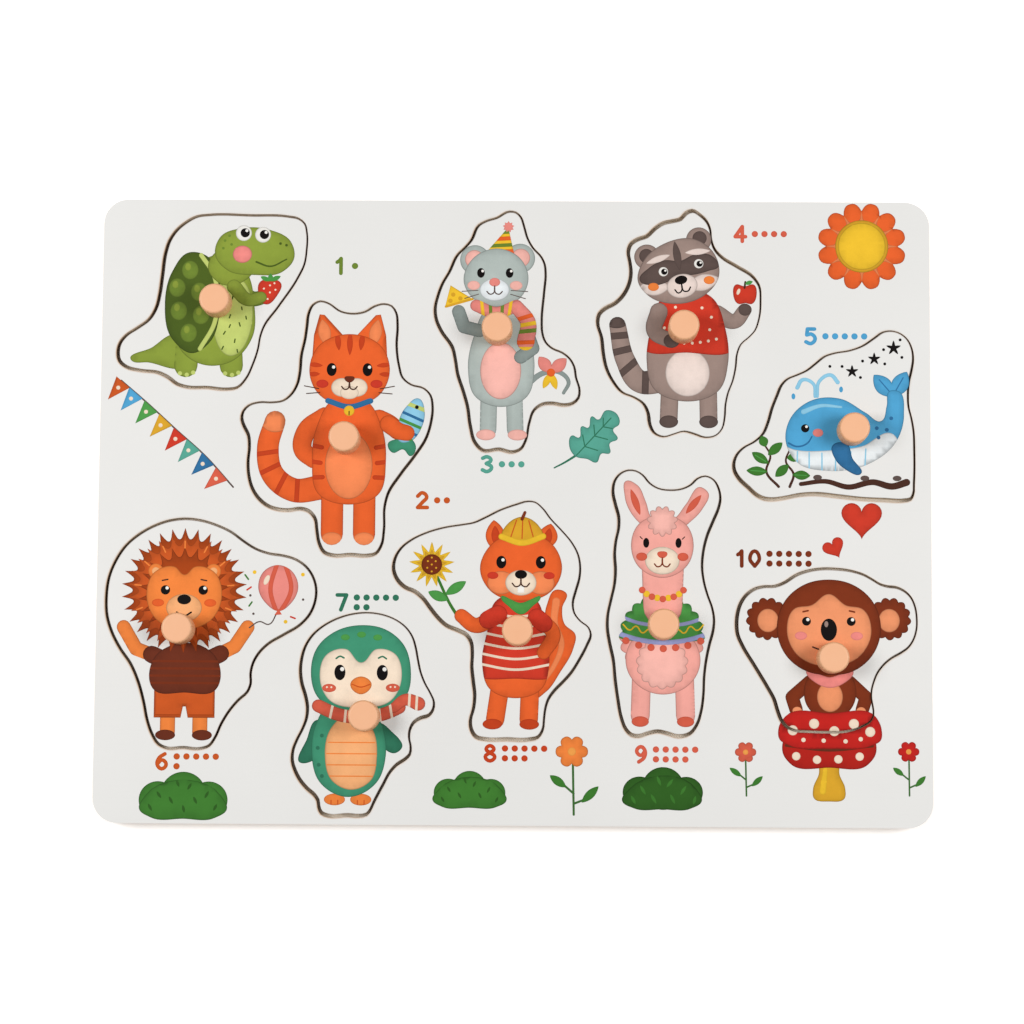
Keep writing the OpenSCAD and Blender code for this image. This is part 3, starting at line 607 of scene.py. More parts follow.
turtlePicture = {
    "tail": ("blob", "lime", 4.5, 10.5, 11, 9.5, 24, 8, 29, 17, 20, 20, 12, 15),
    "legs": ("lines", "lime", 8.4, 25, 17, 24.5, 8.4, 40.5, 17, 41, 8.4),
    "toes": ("dots", "pale lime", .8, 22.4, 5.6, 24.9, 5.1, 27.2, 5.9, 38.8, 5.6, 41.3, 5.1, 43.6, 5.9),
    "back arm": ("line", "olive", 6, 5, 42, 38, 49, 33, 53, 34),
    "body": ("blob", "lime", 21, 25, 22, 15, 30, 9, 41, 10, 48.5, 19, 49, 31, 46, 43, 40, 49, 28, 46),
    "belly": ("oval", "pale lime", 41.3, 26.5, 7.2, 14.5, -3),
    "belly marks": ("lines", "moss", .5, 38, 20, 38.6, 21, 42, 17, 42.2, 18.2, 44, 23, 43.6, 24.2, 40, 26, 40.4,
        27.2, 44.6, 29, 44.4, 30, 41, 33, 41.2, 34, 44, 36, 43.6, 37, 37.5, 14.5, 38, 15.5, 40, 22.5, 40.4, 23.5,
        46.2, 25.6, 46, 26.6, 43.2, 13.4, 43, 14.4),
    "shell": ("blob", "moss", 19, 43, 16.5, 31, 19.5, 18, 27, 13, 33, 17, 36.5, 28, 36, 40, 31, 49, 25, 50),
    "shell rim": ("line", "pale lime", 1.6, 1.6, 29.5, 14.6, 34.6, 24, 35.6, 33, 34, 42, 29.4, 49),
    "shell patches": ("ovals", "olive", 3.1, 3.5, 25.5, 43.5, 20.9, 37, 28.9, 35.5, 21.6, 28.5, 29.7, 27, 25.3,
        20.4),
    "shell glints": ("ovals", "lime", 1.1, 1.4, 24.7, 44.7, 20.2, 38.2, 28.1, 36.7, 20.9, 29.7, 28.9, 28.2, 24.6,
        21.6),
    "neck": ("blob", "lime", 32, 44, 38, 38, 47, 41, 50, 48, 40, 53),
    "head": ("blob", "lime", 34.5, 49, 39, 43.5, 49, 41.8, 59, 43, 63.2, 48, 62, 54, 54, 58.5, 44, 59, 36.5, 56),
    "jaw": ("line", "moss", .7, .5, 49.5, 46.6, 54.5, 45, 60.5, 47.6),
    "eye": ("dots", "white", 2.9, 51.8, 56.6, 44.8, 57.2),
    "pupil": ("dots", "black", 1.7, 52.3, 56.7, 45.3, 57.3),
    "glint": ("dots", "white", .55, 52.9, 57.5, 45.9, 58.1),
    "nostrils": ("dots", "moss", .5, 60.4, 52.8, 58.2, 53.4),
    "cheek": ("oval", "blush", 44.4, 49.4, 3.5, 3.2),
    "freckles": ("dots", "olive", .5, 38, 54.4, 39.6, 56.2, 37.4, 51.6, 40.4, 53),
    "strawberry": ("blob", "red", 53, 31, 57.4, 34.5, 58.6, 38.8, 54.8, 40.4, 50.9, 39.2, 50.4, 35),
    "seeds": ("dots", "cream", .36, 52.6, 34, 54.6, 35.4, 52.4, 36.8, 56.6, 36.4, 54.6, 38, 56.2, 38.8, 53.8, 33),
    "strawberry leaves": ("leaves", "leaf", 1.7, 54.6, 39.6, 51.2, 41.2, 54.6, 39.6, 58.4, 41.4, 54.6, 39.4, 54.8,
        42.4),
    "hand": ("line", "lime", 5.2, 4.2, 41.5, 37.5, 47, 32.6, 51.4, 33.6),
}
printOn("turtle_print", "turtle", turtlePicture, pieceCorner("turtle"))

catPicture = {
    "tail": ("line", "orange", 9, 7.5, 29, 24.5, 19, 23.5, 11.5, 29, 9.5, 39, 12, 48.5),
    "tail bands": ("lines", "rust", 1.7, 20, 17, 20.5, 30, 12, 21, 17, 31, 4, 28, 16, 34, 3, 36, 16, 38, "tail"),
    "tail tip": ("oval", "apricot", 12, 50.4, 6, 6, "tail"),
    "legs": ("lines", "orange", 8, 33, 22, 33, 7.6, 44.6, 22, 44.6, 7.6),
    "paws": ("ovals", "apricot", 3.7, 2.4, 33, 5.9, 44.6, 5.9, "legs"),
    "left arm": ("line", "orange", 7.4, 6.4, 30, 50, 23.4, 45, 22.2, 38, 26, 34.6),
    "right shoulder": ("line", "orange", 7, 6.4, 49.5, 49.4, 53.4, 47.6, 56.5, 45),
    "body": ("blob", "orange", 25.5, 34, 28, 22, 38.7, 18.3, 49.6, 22, 52.2, 34, 50.4, 47, 45, 56, 32.4, 56, 27.2,
        47),
    "belly": ("oval", "apricot", 38.8, 32.5, 8.6, 12.2),
    "side bands": ("lines", "rust", 1.6, 24, 40, 29, 39, 24, 34, 28.6, 33.4, 25, 28, 29.4, 28.2, 54, 40, 48.6, 39,
        54, 34, 49, 33.4, 53, 28, 48.2, 28.2, "body"),
    "fish tail": ("blob", "teal", 57.4, 42.4, 52.8, 40.2, 54.6, 37.2, 58.4, 38.4, 61.2, 36, 63, 38.8, 60.2, 42.8),
    "fish": ("blob", "sky", 57.6, 41, 61, 41.4, 65, 46.5, 66, 52, 63.8, 57, 59.4, 54, 56.6, 48),
    "fish bands": ("lines", "deep blue", 1, 54, 47.4, 65, 42.8, 56.4, 52.8, 68, 47.6, "fish"),
    "fish belly": ("lines", "leaf", 1.1, 54, 44.8, 64, 40.6, 55.4, 50.2, 67, 45.2, "fish"),
    "fish face": ("lines", "pale lime", 1.5, 57.6, 56, 69, 51.6, "fish"),
    "fish eye": ("dots", "black", .7, 63.2, 53.8),
    "paw on fish": ("line", "orange", 6.4, 5.8, 53, 47.6, 57, 45, 59.6, 44.4),
    "ears": ("corners", "orange", 25, 70, 25.6, 80, 27.6, 87.6, 29.4, 87.4, 38, 78, 39.4, 78, 48, 87.4, 49.8,
        87.6, 51.8, 80, 52.4, 70),
    "inner ears": ("leaves", "apricot", 4.6, 30.4, 76, 28.5, 85.8, 47, 76, 48.9, 85.8),
    "head": ("blob", "orange", 24.2, 66, 27.6, 58.4, 38.7, 54.4, 49.8, 58.4, 53.2, 66, 50.4, 75.6, 38.7, 80.4, 27,
        75.6),
    "brow bands": ("leaves", "rust", 2.1, 38.7, 81.4, 38.7, 72.6, 34, 81, 34.8, 74.4, 43.4, 81, 42.6, 74.4,
        "head"),
    "face bands": ("leaves", "rust", 1.7, 23.4, 69.4, 29, 68.8, 54, 69.4, 48.4, 68.8, 23.4, 65.6, 28, 65.8, 54,
        65.6, 49.4, 65.8, "head"),
    "muzzle": ("ovals", "cream", 3.9, 3.4, 36, 60.9, 41.4, 60.9),
    "chin": ("oval", "cream", 38.7, 59, 3.4, 2.4),
    "eyes": ("ovals", "black", 1.8, 2.4, 32.2, 67.4, 45.2, 67.4),
    "eye glints": ("dots", "white", .6, 32.9, 68.3, 45.9, 68.3),
    "nose": ("blob", "plum", 36.9, 64.6, 38.7, 65, 40.5, 64.6, 38.7, 62.6),
    "mouth": ("line", "bark", .5, .5, 35.9, 61.2, 36.9, 60.2, 38.1, 60.4, 38.7, 62.6),
    "mouth right": ("line", "bark", .5, .5, 41.5, 61.2, 40.5, 60.2, 39.3, 60.4, 38.7, 62.6),
    "cheeks": ("ovals", "red", 2.2, 1.5, 28.9, 62.2, 48.5, 62.2),
    "whiskers": ("lines", "bark", .35, 27.6, 60.4, 22.4, 61.4, 28, 59, 23.2, 58.6, 49.8, 60.4, 55, 61.4, 49.4, 59,
        54.2, 58.6),
    "collar": ("line", "deep blue", 2, 2, 31, 56, 38.7, 53.8, 46.4, 56),
    "bell": ("oval", "yellow", 38.7, 52.4, 1.9, 1.9),
    "bell slot": ("line", "bark", .4, .4, 38.7, 52.2, 38.7, 50.9),
}
printOn("cat_print", "cat", catPicture, pieceCorner("cat"))

mousePicture = {
    "tail": ("line", "dark grey", 2.2, 1.2, 33, 24, 39, 28.5, 45, 29, 48.4, 25.4, 46.6, 21.4),
    "bow": ("leaves", "deep pink", 4.6, 42, 28.8, 37.6, 34.6, 42, 28.8, 47.6, 34),
    "bow ends": ("leaves", "yellow", 2.6, 42, 28.8, 39.2, 23, 42, 28.8, 44, 22.6),
    "bow knot": ("oval", "orange", 42, 28.8, 1.5, 1.5),
    "legs": ("lines", "grey", 6, 19.6, 20, 19.4, 8, 28.8, 20, 29.2, 8),
    "feet": ("ovals", "rose", 3.5, 2, 18.6, 6, 30, 6),
    "body": ("blob", "grey", 12, 30, 14.6, 20, 24, 16.2, 33.4, 20, 36, 30, 34, 42, 29, 52, 19, 52, 14, 42),
    "belly": ("oval", "rose", 23.8, 29.4, 7.4, 10.4),
    "arms": ("lines", "dark grey", 4.8, 16, 44, 10.4, 45.4, 10.4, 45.4, 8.4, 51, 33, 44, 35.4, 37.6, 35.4, 37.6,
        31, 34.4),
    "cheese": ("corners", "yellow", 3.4, 52.4, 13.8, 55.4, 5.4, 60.6),
    "cheese rind": ("lines", "gold", .9, 3.8, 52.8, 13.4, 55.6),
    "cheese holes": ("dots", "gold", .8, 6.4, 57.2, 9, 55.8, 5.4, 54.9),
    "ears": ("dots", "grey", 5.4, 14.2, 70, 30.6, 70.6),
    "inner ears": ("dots", "rose", 3.4, 14, 70.2, 30.8, 70.8),
    "hat": ("corners", "yellow", 17.2, 71.6, 28.4, 72.4, 26.2, 82),
    "hat bands": ("lines", "orange", 1.5, 15, 72.6, 31, 73.4, 19, 77.6, 31, 78.2, "hat"),
    "hat green": ("lines", "olive", 1.3, 17, 75, 31, 75.8, 21, 80, 31, 80.6, "hat"),
    "pompom": ("burst", "deep pink", 26.3, 82.2, 1.5, 2.1, 9),
    "head": ("blob", "grey", 10.2, 62, 13.4, 56, 22, 52.8, 30.6, 56, 33.6, 62.6, 30.8, 70.4, 22, 74.2, 13, 70),
    "snout": ("oval", "foam", 21.4, 59, 5.4, 4.1),
    "nose": ("oval", "deep pink", 21.4, 61.8, 2, 1.6),
    "mouth": ("line", "umber", .45, .45, 18.6, 58.4, 19.7, 57.4, 20.9, 57.7, 21.4, 60.4),
    "mouth right": ("line", "umber", .45, .45, 24.2, 58.4, 23.1, 57.4, 21.9, 57.7, 21.4, 60.4),
    "eyes": ("ovals", "black", 1.4, 1.8, 16.4, 65.2, 26.8, 65.2),
    "eye glints": ("dots", "white", .5, 17, 65.9, 27.4, 65.9),
    "cheeks": ("ovals", "rose", 2.3, 1.7, 13.8, 60.6, 29.2, 60.6),
    "whiskers": ("lines", "umber", .3, 15.4, 58.8, 9.6, 58.4, 15.6, 57.4, 10.6, 55.8, 27.4, 58.8, 33.4, 58.4,
        27.2, 57.4, 32.6, 55.8),
    "scarf": ("line", "deep pink", 4.4, 4.4, 14.8, 53.2, 22, 50.6, 29.4, 53.2),
    "scarf end": ("line", "deep pink", 5, 6.4, 29.6, 52.6, 33.6, 47, 32.8, 40),
    "scarf orange": ("lines", "orange", 1.5, 28, 47.6, 37, 50.4, 28, 39.6, 38, 40, "scarf end"),
    "scarf yellow": ("lines", "yellow", 1.5, 28, 45.4, 37.5, 47.2, 28, 37.4, 38, 37.4, "scarf end"),
    "scarf green": ("lines", "olive", 1.5, 28, 43.4, 38, 44.4, "scarf end"),
    "neck bands": ("lines", "yellow", 1.2, 17.4, 49, 16.6, 56, 26.6, 49, 27.6, 56, "scarf"),
    "neck green": ("lines", "olive", 1.2, 20.2, 48, 19.8, 55, 24, 48, 24.4, 55, "scarf"),
}
printOn("mouse_print", "mouse", mousePicture, pieceCorner("mouse"))

raccoonPicture = {
    "tail": ("line", "taupe", 9.4, 6, 25, 21.5, 15, 20.5, 10, 28, 7, 41),
    "tail rings": ("lines", "umber", 2.5, 17, 14, 17.4, 28, 7, 22, 15, 29, 2, 30, 14, 33, 0, 36.4, 13, 37.6,
        "tail"),
    "tail tip": ("oval", "umber", 6.6, 42.4, 4.4, 2.6, "tail"),
    "legs": ("lines", "taupe", 6.4, 26, 18, 25.6, 7, 39.8, 18, 40, 7),
    "feet": ("ovals", "umber", 3.4, 2.3, 25.6, 5.8, 40, 5.8),
    "far arm": ("line", "taupe", 6, 5, 43, 45.5, 49.5, 42.6, 53, 46.6),
    "body": ("blob", "taupe", 17.6, 28, 20, 18, 31.6, 13.2, 44, 17.6, 47, 27, 46, 40, 41, 51.4, 23.6, 51.4, 19.2,
        40),
    "belly": ("oval", "sand", 32.4, 23.6, 8, 8.6),
    "shirt": ("blob", "red", 15, 33.4, 32, 31, 50, 33.4, 50, 44, 42, 56, 20, 56, 14, 44, "body"),
    "shirt dots": ("dots", "cream", .55, 22.6, 36, 25.4, 35.2, 28.3, 34.7, 31.2, 34.5, 34.1, 34.5, 37, 34.8, 39.9,
        35.3, 42.8, 36, 24, 40, 24.4, 44.6, 40.4, 39.4, 41, 44, 37.6, 47.4, 28, 47.6),
    "near arm": ("line", "taupe", 6.4, 5.4, 22, 46, 20.6, 38.6, 26, 35.4),
    "near paw": ("oval", "umber", 26.6, 35.3, 2.9, 2.6),
    "far paw": ("oval", "umber", 53.2, 46.8, 2.4, 2.2),
    "apple": ("blob", "red", 53, 55.4, 49.8, 56, 48.9, 52.4, 50.8, 48.9, 53.2, 49.2, 55.6, 48.9, 57.4, 52.4, 56.4,
        56),
    "apple stalk": ("line", "bark", .7, .7, 53, 54.8, 53.3, 57),
    "apple leaf": ("leaves", "leaf", 1.5, 53.2, 56.2, 56, 57.2),
    "apple glint": ("oval", "cream", 50.8, 53.4, .6, 1.2, -20),
    "ears": ("dots", "taupe", 4.6, 17.6, 66, 36.4, 72.4),
    "inner ears": ("dots", "umber", 2.6, 17.4, 66.4, 36.7, 73),
    "head": ("blob", "taupe", 14.4, 57, 18.4, 51.6, 28, 48.8, 39, 52.4, 43.6, 58.6, 42, 67.4, 35, 72.6, 24, 71,
        16.4, 64.6),
    "cheek fur": ("leaves", "sand", 6, 14.6, 54.6, 26, 55, 44, 58.4, 32, 55, "head"),
    "mask": ("blob", "umber", 15, 57.4, 20.4, 55.6, 26.6, 57.6, 29.6, 59.4, 33.2, 59.4, 40, 61, 43.6, 62.6, 41,
        66.6, 35, 67, 29.6, 64.6, 24, 64.8, 18.4, 62, "head"),
    "brows": ("leaves", "sand", 2.3, 17.4, 63.6, 26, 66.8, 31.4, 67.6, 40.6, 68.4),
    "blaze": ("leaves", "umber", 2.8, 29.6, 61, 27.6, 71.8),
    "muzzle": ("oval", "sand", 30.4, 55.4, 5.6, 4.4, 12),
    "nose": ("oval", "black", 30, 57.6, 2.3, 1.6, 12),
    "mouth": ("line", "black", .5, .5, 27.8, 54, 29, 52.8, 30.1, 53.4, 30.2, 56),
    "mouth right": ("line", "black", .5, .5, 33.4, 55, 32.6, 53.6, 31.1, 53.5, 30.2, 56),
    "eyes": ("dots", "white", 1.7, 23.6, 60.6, 36.4, 63.6),
    "pupils": ("dots", "black", 1.15, 23.9, 60.6, 36.7, 63.6),
    "glints": ("dots", "white", .4, 24.3, 61, 37.1, 64),
    "cheeks": ("ovals", "fawn", 2, 1.5, 20, 55, 40.2, 57.6),
}
printOn("raccoon_print", "raccoon", raccoonPicture, pieceCorner("raccoon"))

whalePicture = {
    "weed stems": ("line", "bark", 1, .6, 16, 4.6, 11.6, 10, 13, 16, 10.8, 20),
    "weed stem two": ("line", "bark", 1, .6, 20, 4.6, 21.4, 9, 18.6, 14, 20, 18),
    "weed leaves": ("leaves", "green", 3.4, 12, 10, 4.4, 10.4, 12.4, 13, 6.4, 17, 12.2, 16, 17.4, 20.6, 11.4, 19,
        9.8, 23, 21, 9, 27.4, 8.6, 19.6, 12.6, 14.8, 8.2, 19, 15, 24, 15.6),
    "weed veins": ("lines", "leaf", .35, 11, 10.1, 6, 10.4, 11.4, 13.7, 7.6, 16, 22, 8.9, 26, 8.7),
    "sea floor": ("line", "bark", 1.5, 2.6, 24, 5.6, 33, 6.6, 41, 4.6, 50, 6.4, 57, 4.9, 62, 6.4),
    "pebbles": ("ovals", "umber", 1.6, 1, 30, 8, 47, 7.8, 58.6, 7.8),
    "tail fins": ("leaves", "blue", 6.2, 57.4, 37.4, 50.4, 45.4, 57.4, 37.4, 62.4, 46.6),
    "fin lines": ("lines", "deep blue", .4, 56, 39.4, 52.4, 43.6, 58.4, 39.8, 61, 44.4),
    "body": ("blob", "blue", 18.6, 21, 20.4, 29.6, 28, 36, 38.4, 36.6, 47.4, 31.6, 53, 28.6, 55, 34, 56.2, 39.6,
        59, 39.6, 61.2, 31, 58, 20.6, 48, 12.8, 34, 10.4, 23, 13.2),
    "belly": ("blob", "foam", 14, 20.4, 22, 18, 34, 17.8, 46, 19.4, 57, 24, 56, 10, 40, 4, 20, 6, "body"),
    "belly lines": ("lines", "sky", .5, 22.6, 12, 22.8, 17.4, 27, 10, 27, 17, 31.6, 9, 31.6, 16.8, 36.4, 9, 36.6,
        16.8, 41.6, 9, 42, 17.4, 47, 11, 47.4, 18.4, "body"),
    "back glow": ("line", "sky", 1.8, .8, 25, 31.8, 31, 34, 38.6, 33.6),
    "flipper": ("blob", "deep blue", 35.4, 19.6, 40.4, 20.4, 42.6, 15, 45.6, 9.4, 40, 11, 36.4, 14.6),
    "smile": ("line", "deep blue", .7, .5, 19.6, 20.4, 22.4, 19.2, 26.6, 20.6, 28, 22.8),
    "eye": ("dots", "black", 1.5, 25.6, 25.8),
    "eye glint": ("dots", "white", .5, 26.1, 26.4),
    "cheek": ("oval", "blush", 30.2, 24.2, 1.9, 1.5),
    "spots": ("dots", "deep blue", .7, 52, 22.6, 55, 25.4, 56.6, 29.6, 51.4, 26),
    "spout": ("line", "sky", 1.1, 1.5, 29.2, 37.4, 28.6, 42, 24.6, 43.4, 22.8, 40.6),
    "spout two": ("line", "sky", 1.1, 1.5, 30, 37.4, 30.8, 43, 35, 45.2, 37.4, 42.6),
    "drops": ("ovals", "blue", .7, 1.1, 21.4, 37.4, 38.6, 40),
    "stars": ("burst", "black", 42.6, 46.6, 1, 2.4, 5),
    "star two": ("burst", "black", 50.6, 51.2, 1, 2.4, 5),
    "star three": ("burst", "black", 57.6, 55.2, 1.1, 2.8, 5),
    "sparks": ("dots", "black", .55, 46.4, 50.4, 45.6, 44.4, 54.4, 49.4, 54, 54.6, 60.6, 51.8, 39, 48.4, 34.6,
        48.4, 60, 58.2),
}
printOn("whale_print", "whale", whalePicture, pieceCorner("whale"))

hedgehogPicture = {
    "arms": ("lines", "fawn", 5, 19, 32.6, 11, 35.6, 11, 35.6, 6.4, 43.4, 38.6, 32.6, 46.4, 36.6, 46.4, 36.6, 51,
        43.6),
    "sleeves": ("lines", "plum", 6.2, 20.4, 32, 16.6, 33.6, 37.4, 32, 41.4, 34),
    "legs": ("lines", "fawn", 5.4, 22.8, 14, 22.8, 5.8, 34.4, 14, 34.4, 5.8),
    "shoes": ("ovals", "plum", 3.6, 1.9, 22, 4.8, 35.2, 4.8),
    "shorts": ("corners", "quill", 17.8, 22, 17.8, 11, 27.4, 11, 28.2, 15, 29.2, 15, 30, 11, 39.6, 11, 39.6, 22),
    "shorts seam": ("lines", "deep quill", .45, 18.4, 12, 27, 12, 30.4, 12, 39, 12),
    "shirt": ("blob", "plum", 17.6, 21, 18, 33, 24, 37, 34, 37, 39.6, 33, 39.8, 21, 28.6, 20),
    "shirt bands": ("lines", "brown", .8, 16, 23.4, 42, 23.4, 16, 26, 42, 26, 16, 28.6, 42, 28.6, 16, 31.2, 42,
        31.2, "shirt"),
    "quills": ("burst", "deep quill", 28, 56.6, 18.6, 22.6, 30, 1.2),
    "quill ring": ("burst", "quill", 28, 56.4, 16.6, 20.4, 26, 1.2),
    "inner quills": ("burst", "deep quill", 28, 55.8, 13, 16.8, 22, 1.4),
    "quill ticks": ("lines", "fawn", .5, 28, 74.4, 28, 72, 36, 72.4, 35, 70.4, 20, 72.4, 21, 70.4, 42.4, 67, 40.8,
        65.6, 13.6, 67, 15.2, 65.6, 45.8, 58.6, 43.6, 58.4, 10.2, 58.6, 12.4, 58.4, 45, 49.6, 43, 50.4, 11, 49.6,
        13, 50.4),
    "ears": ("dots", "fawn", 2.7, 17.6, 63.6, 38.4, 63.6),
    "inner ears": ("dots", "peach", 1.4, 17.6, 63.6, 38.4, 63.6),
    "face": ("blob", "fawn", 14.4, 55, 17.6, 46.6, 28, 42.6, 38.4, 46.6, 41.6, 55, 38.6, 63.4, 31.6, 65.2, 28,
        62.4, 24.4, 65.2, 17.4, 63.4),
    "snout": ("oval", "peach", 28, 50.4, 6.4, 5),
    "eyes": ("dots", "black", 1.7, 21.2, 56.8, 34.8, 56.8),
    "eye glints": ("dots", "white", .6, 21.8, 57.5, 35.4, 57.5),
    "brows": ("lines", "bark", .5, 20, 60.2, 22, 60.6, 34, 60.6, 36, 60.2),
    "nose": ("oval", "black", 28, 53.4, 2.5, 1.8),
    "smile": ("line", "black", .6, .6, 25.4, 48.8, 28, 47.4, 30.6, 48.8),
    "cheeks": ("ovals", "orange", 2.2, 1.4, 18.6, 52.2, 37.4, 52.2),
    "string": ("line", "umber", .45, .45, 51.6, 43.4, 55.4, 45.6, 58.4, 44.6, 61.6, 49),
    "balloon": ("blob", "deep pink", 62, 49.4, 66.6, 52.4, 69, 58.4, 66, 64.4, 61.4, 66, 56.8, 64, 54.6, 58, 57.6,
        52),
    "balloon bands": ("line", "brick", 1.6, 1.6, 61.6, 48, 59, 57, 61.4, 67, "balloon"),
    "balloon band two": ("line", "brick", 1.6, 1.6, 62, 48, 66.4, 57, 64, 67, "balloon"),
    "balloon knot": ("corners", "brick", 60.6, 48, 63.2, 48.2, 62, 50.2),
    "balloon glint": ("oval", "cream", 57.6, 60.6, .9, 1.9, -25),
    "confetti green": ("lines", "green", .6, 49.8, 62.4, 51, 60.8, 52.4, 52.6, 51.4, 51.2),
    "confetti red": ("lines", "red", .6, 50.6, 57, 52, 58, 66.4, 47.4, 68, 46.8),
    "confetti yellow": ("dots", "yellow", .7, 53.2, 63.4, 70.6, 62.6, 64.6, 45.6),
    "confetti dark": ("dots", "umber", .45, 51.8, 55, 70.8, 53.6, 53, 48.4),
}
printOn("hedgehog_print", "hedgehog", hedgehogPicture, pieceCorner("hedgehog"))

penguinPicture = {
    "feet": ("ovals", "fawn", 3.8, 2.1, 15.2, 5.7, 24.6, 5.7),
    "toes": ("lines", "quill", .4, 14, 4, 14, 5.4, 16.4, 4, 16.4, 5.4, 23.4, 4, 23.4, 5.4, 25.8, 4, 25.8, 5.4),
    "left flipper": ("blob", "deep teal", 9, 34, 5, 27, 3, 18.6, 6.4, 19, 10.4, 25),
    "right flipper": ("blob", "deep teal", 30, 33, 35.4, 30, 39, 24, 37, 22.4, 31.4, 25.4),
    "body": ("blob", "teal", 6.8, 22, 10, 11.6, 20, 6.6, 30, 11.6, 33.4, 22, 31.6, 33, 27, 40, 13, 40, 8.4, 33),
    "belly": ("blob", "peach", 11.6, 21, 14.2, 12.4, 21, 9.2, 28, 12.4, 30.2, 21, 28, 31.6, 21, 36.6, 14, 31.6),
    "belly lines": ("lines", "fawn", .4, 13.4, 14, 28.6, 14, 12.4, 18, 29.8, 18, 12.2, 22, 30, 22, 12.8, 26, 29.4,
        26, "belly"),
    "tail spots": ("dots", "deep teal", .7, 9.4, 18, 10.6, 14, 9, 24, 10.4, 28.4),
    "head": ("blob", "teal", 6.2, 51, 8.4, 42.6, 16, 37, 25, 35.6, 34, 37.4, 40.6, 43, 42, 52, 39.4, 61, 33, 66.4,
        24, 68, 14.6, 65.6, 8.4, 60),
    "face": ("blob", "cream", 9.4, 49, 12.6, 41.4, 24, 38.4, 35.6, 41.6, 38.8, 49.4, 36, 58, 29.6, 59.4, 24.2,
        54.6, 18.6, 59.4, 12, 57.6),
    "head spots": ("ovals", "leaf", 1.6, 1.1, 18.4, 63.6, 24.2, 64.6, 30, 63.6),
    "eyes": ("ovals", "black", 2, 2.8, 16.6, 51, 31.8, 51),
    "eye glints": ("dots", "white", .75, 17.4, 52.2, 32.6, 52.2),
    "brows": ("line", "deep teal", .6, .6, 15.2, 56, 16.6, 56.8, 18, 56.2),
    "brow two": ("line", "deep teal", .6, .6, 30.4, 56.2, 31.8, 56.8, 33.2, 56),
    "beak": ("blob", "fawn", 20.4, 47, 24.2, 49.6, 28, 47, 24.2, 43.2),
    "beak line": ("line", "quill", .45, .45, 21, 46.8, 24.2, 45.8, 27.4, 46.8),
    "cheeks": ("ovals", "brick", 2.5, 1.5, 12.8, 45.4, 35.6, 45.6),
    "cheek glints": ("dots", "cream", .35, 12, 45.7, 13.6, 45.7, 34.8, 45.9, 36.4, 45.9),
    "scarf": ("line", "brick", 4.6, 4.6, 9, 39, 16, 36, 25, 35, 33, 36.4, 38, 38.6),
    "scarf end": ("line", "brick", 3.6, 5, 36, 38.4, 40.4, 41.4, 44.8, 40),
    "scarf bands": ("lines", "cream", .9, 13, 33.6, 14.4, 40.4, 18.4, 32, 19, 39, 31.4, 33, 30.6, 39.4, 35.6, 34,
        34.4, 41, "scarf"),
    "scarf end bands": ("lines", "cream", .9, 41.4, 37.6, 41.8, 45, 44, 36, 44.4, 44, "scarf end"),
}
printOn("penguin_print", "penguin", penguinPicture, pieceCorner("penguin"))

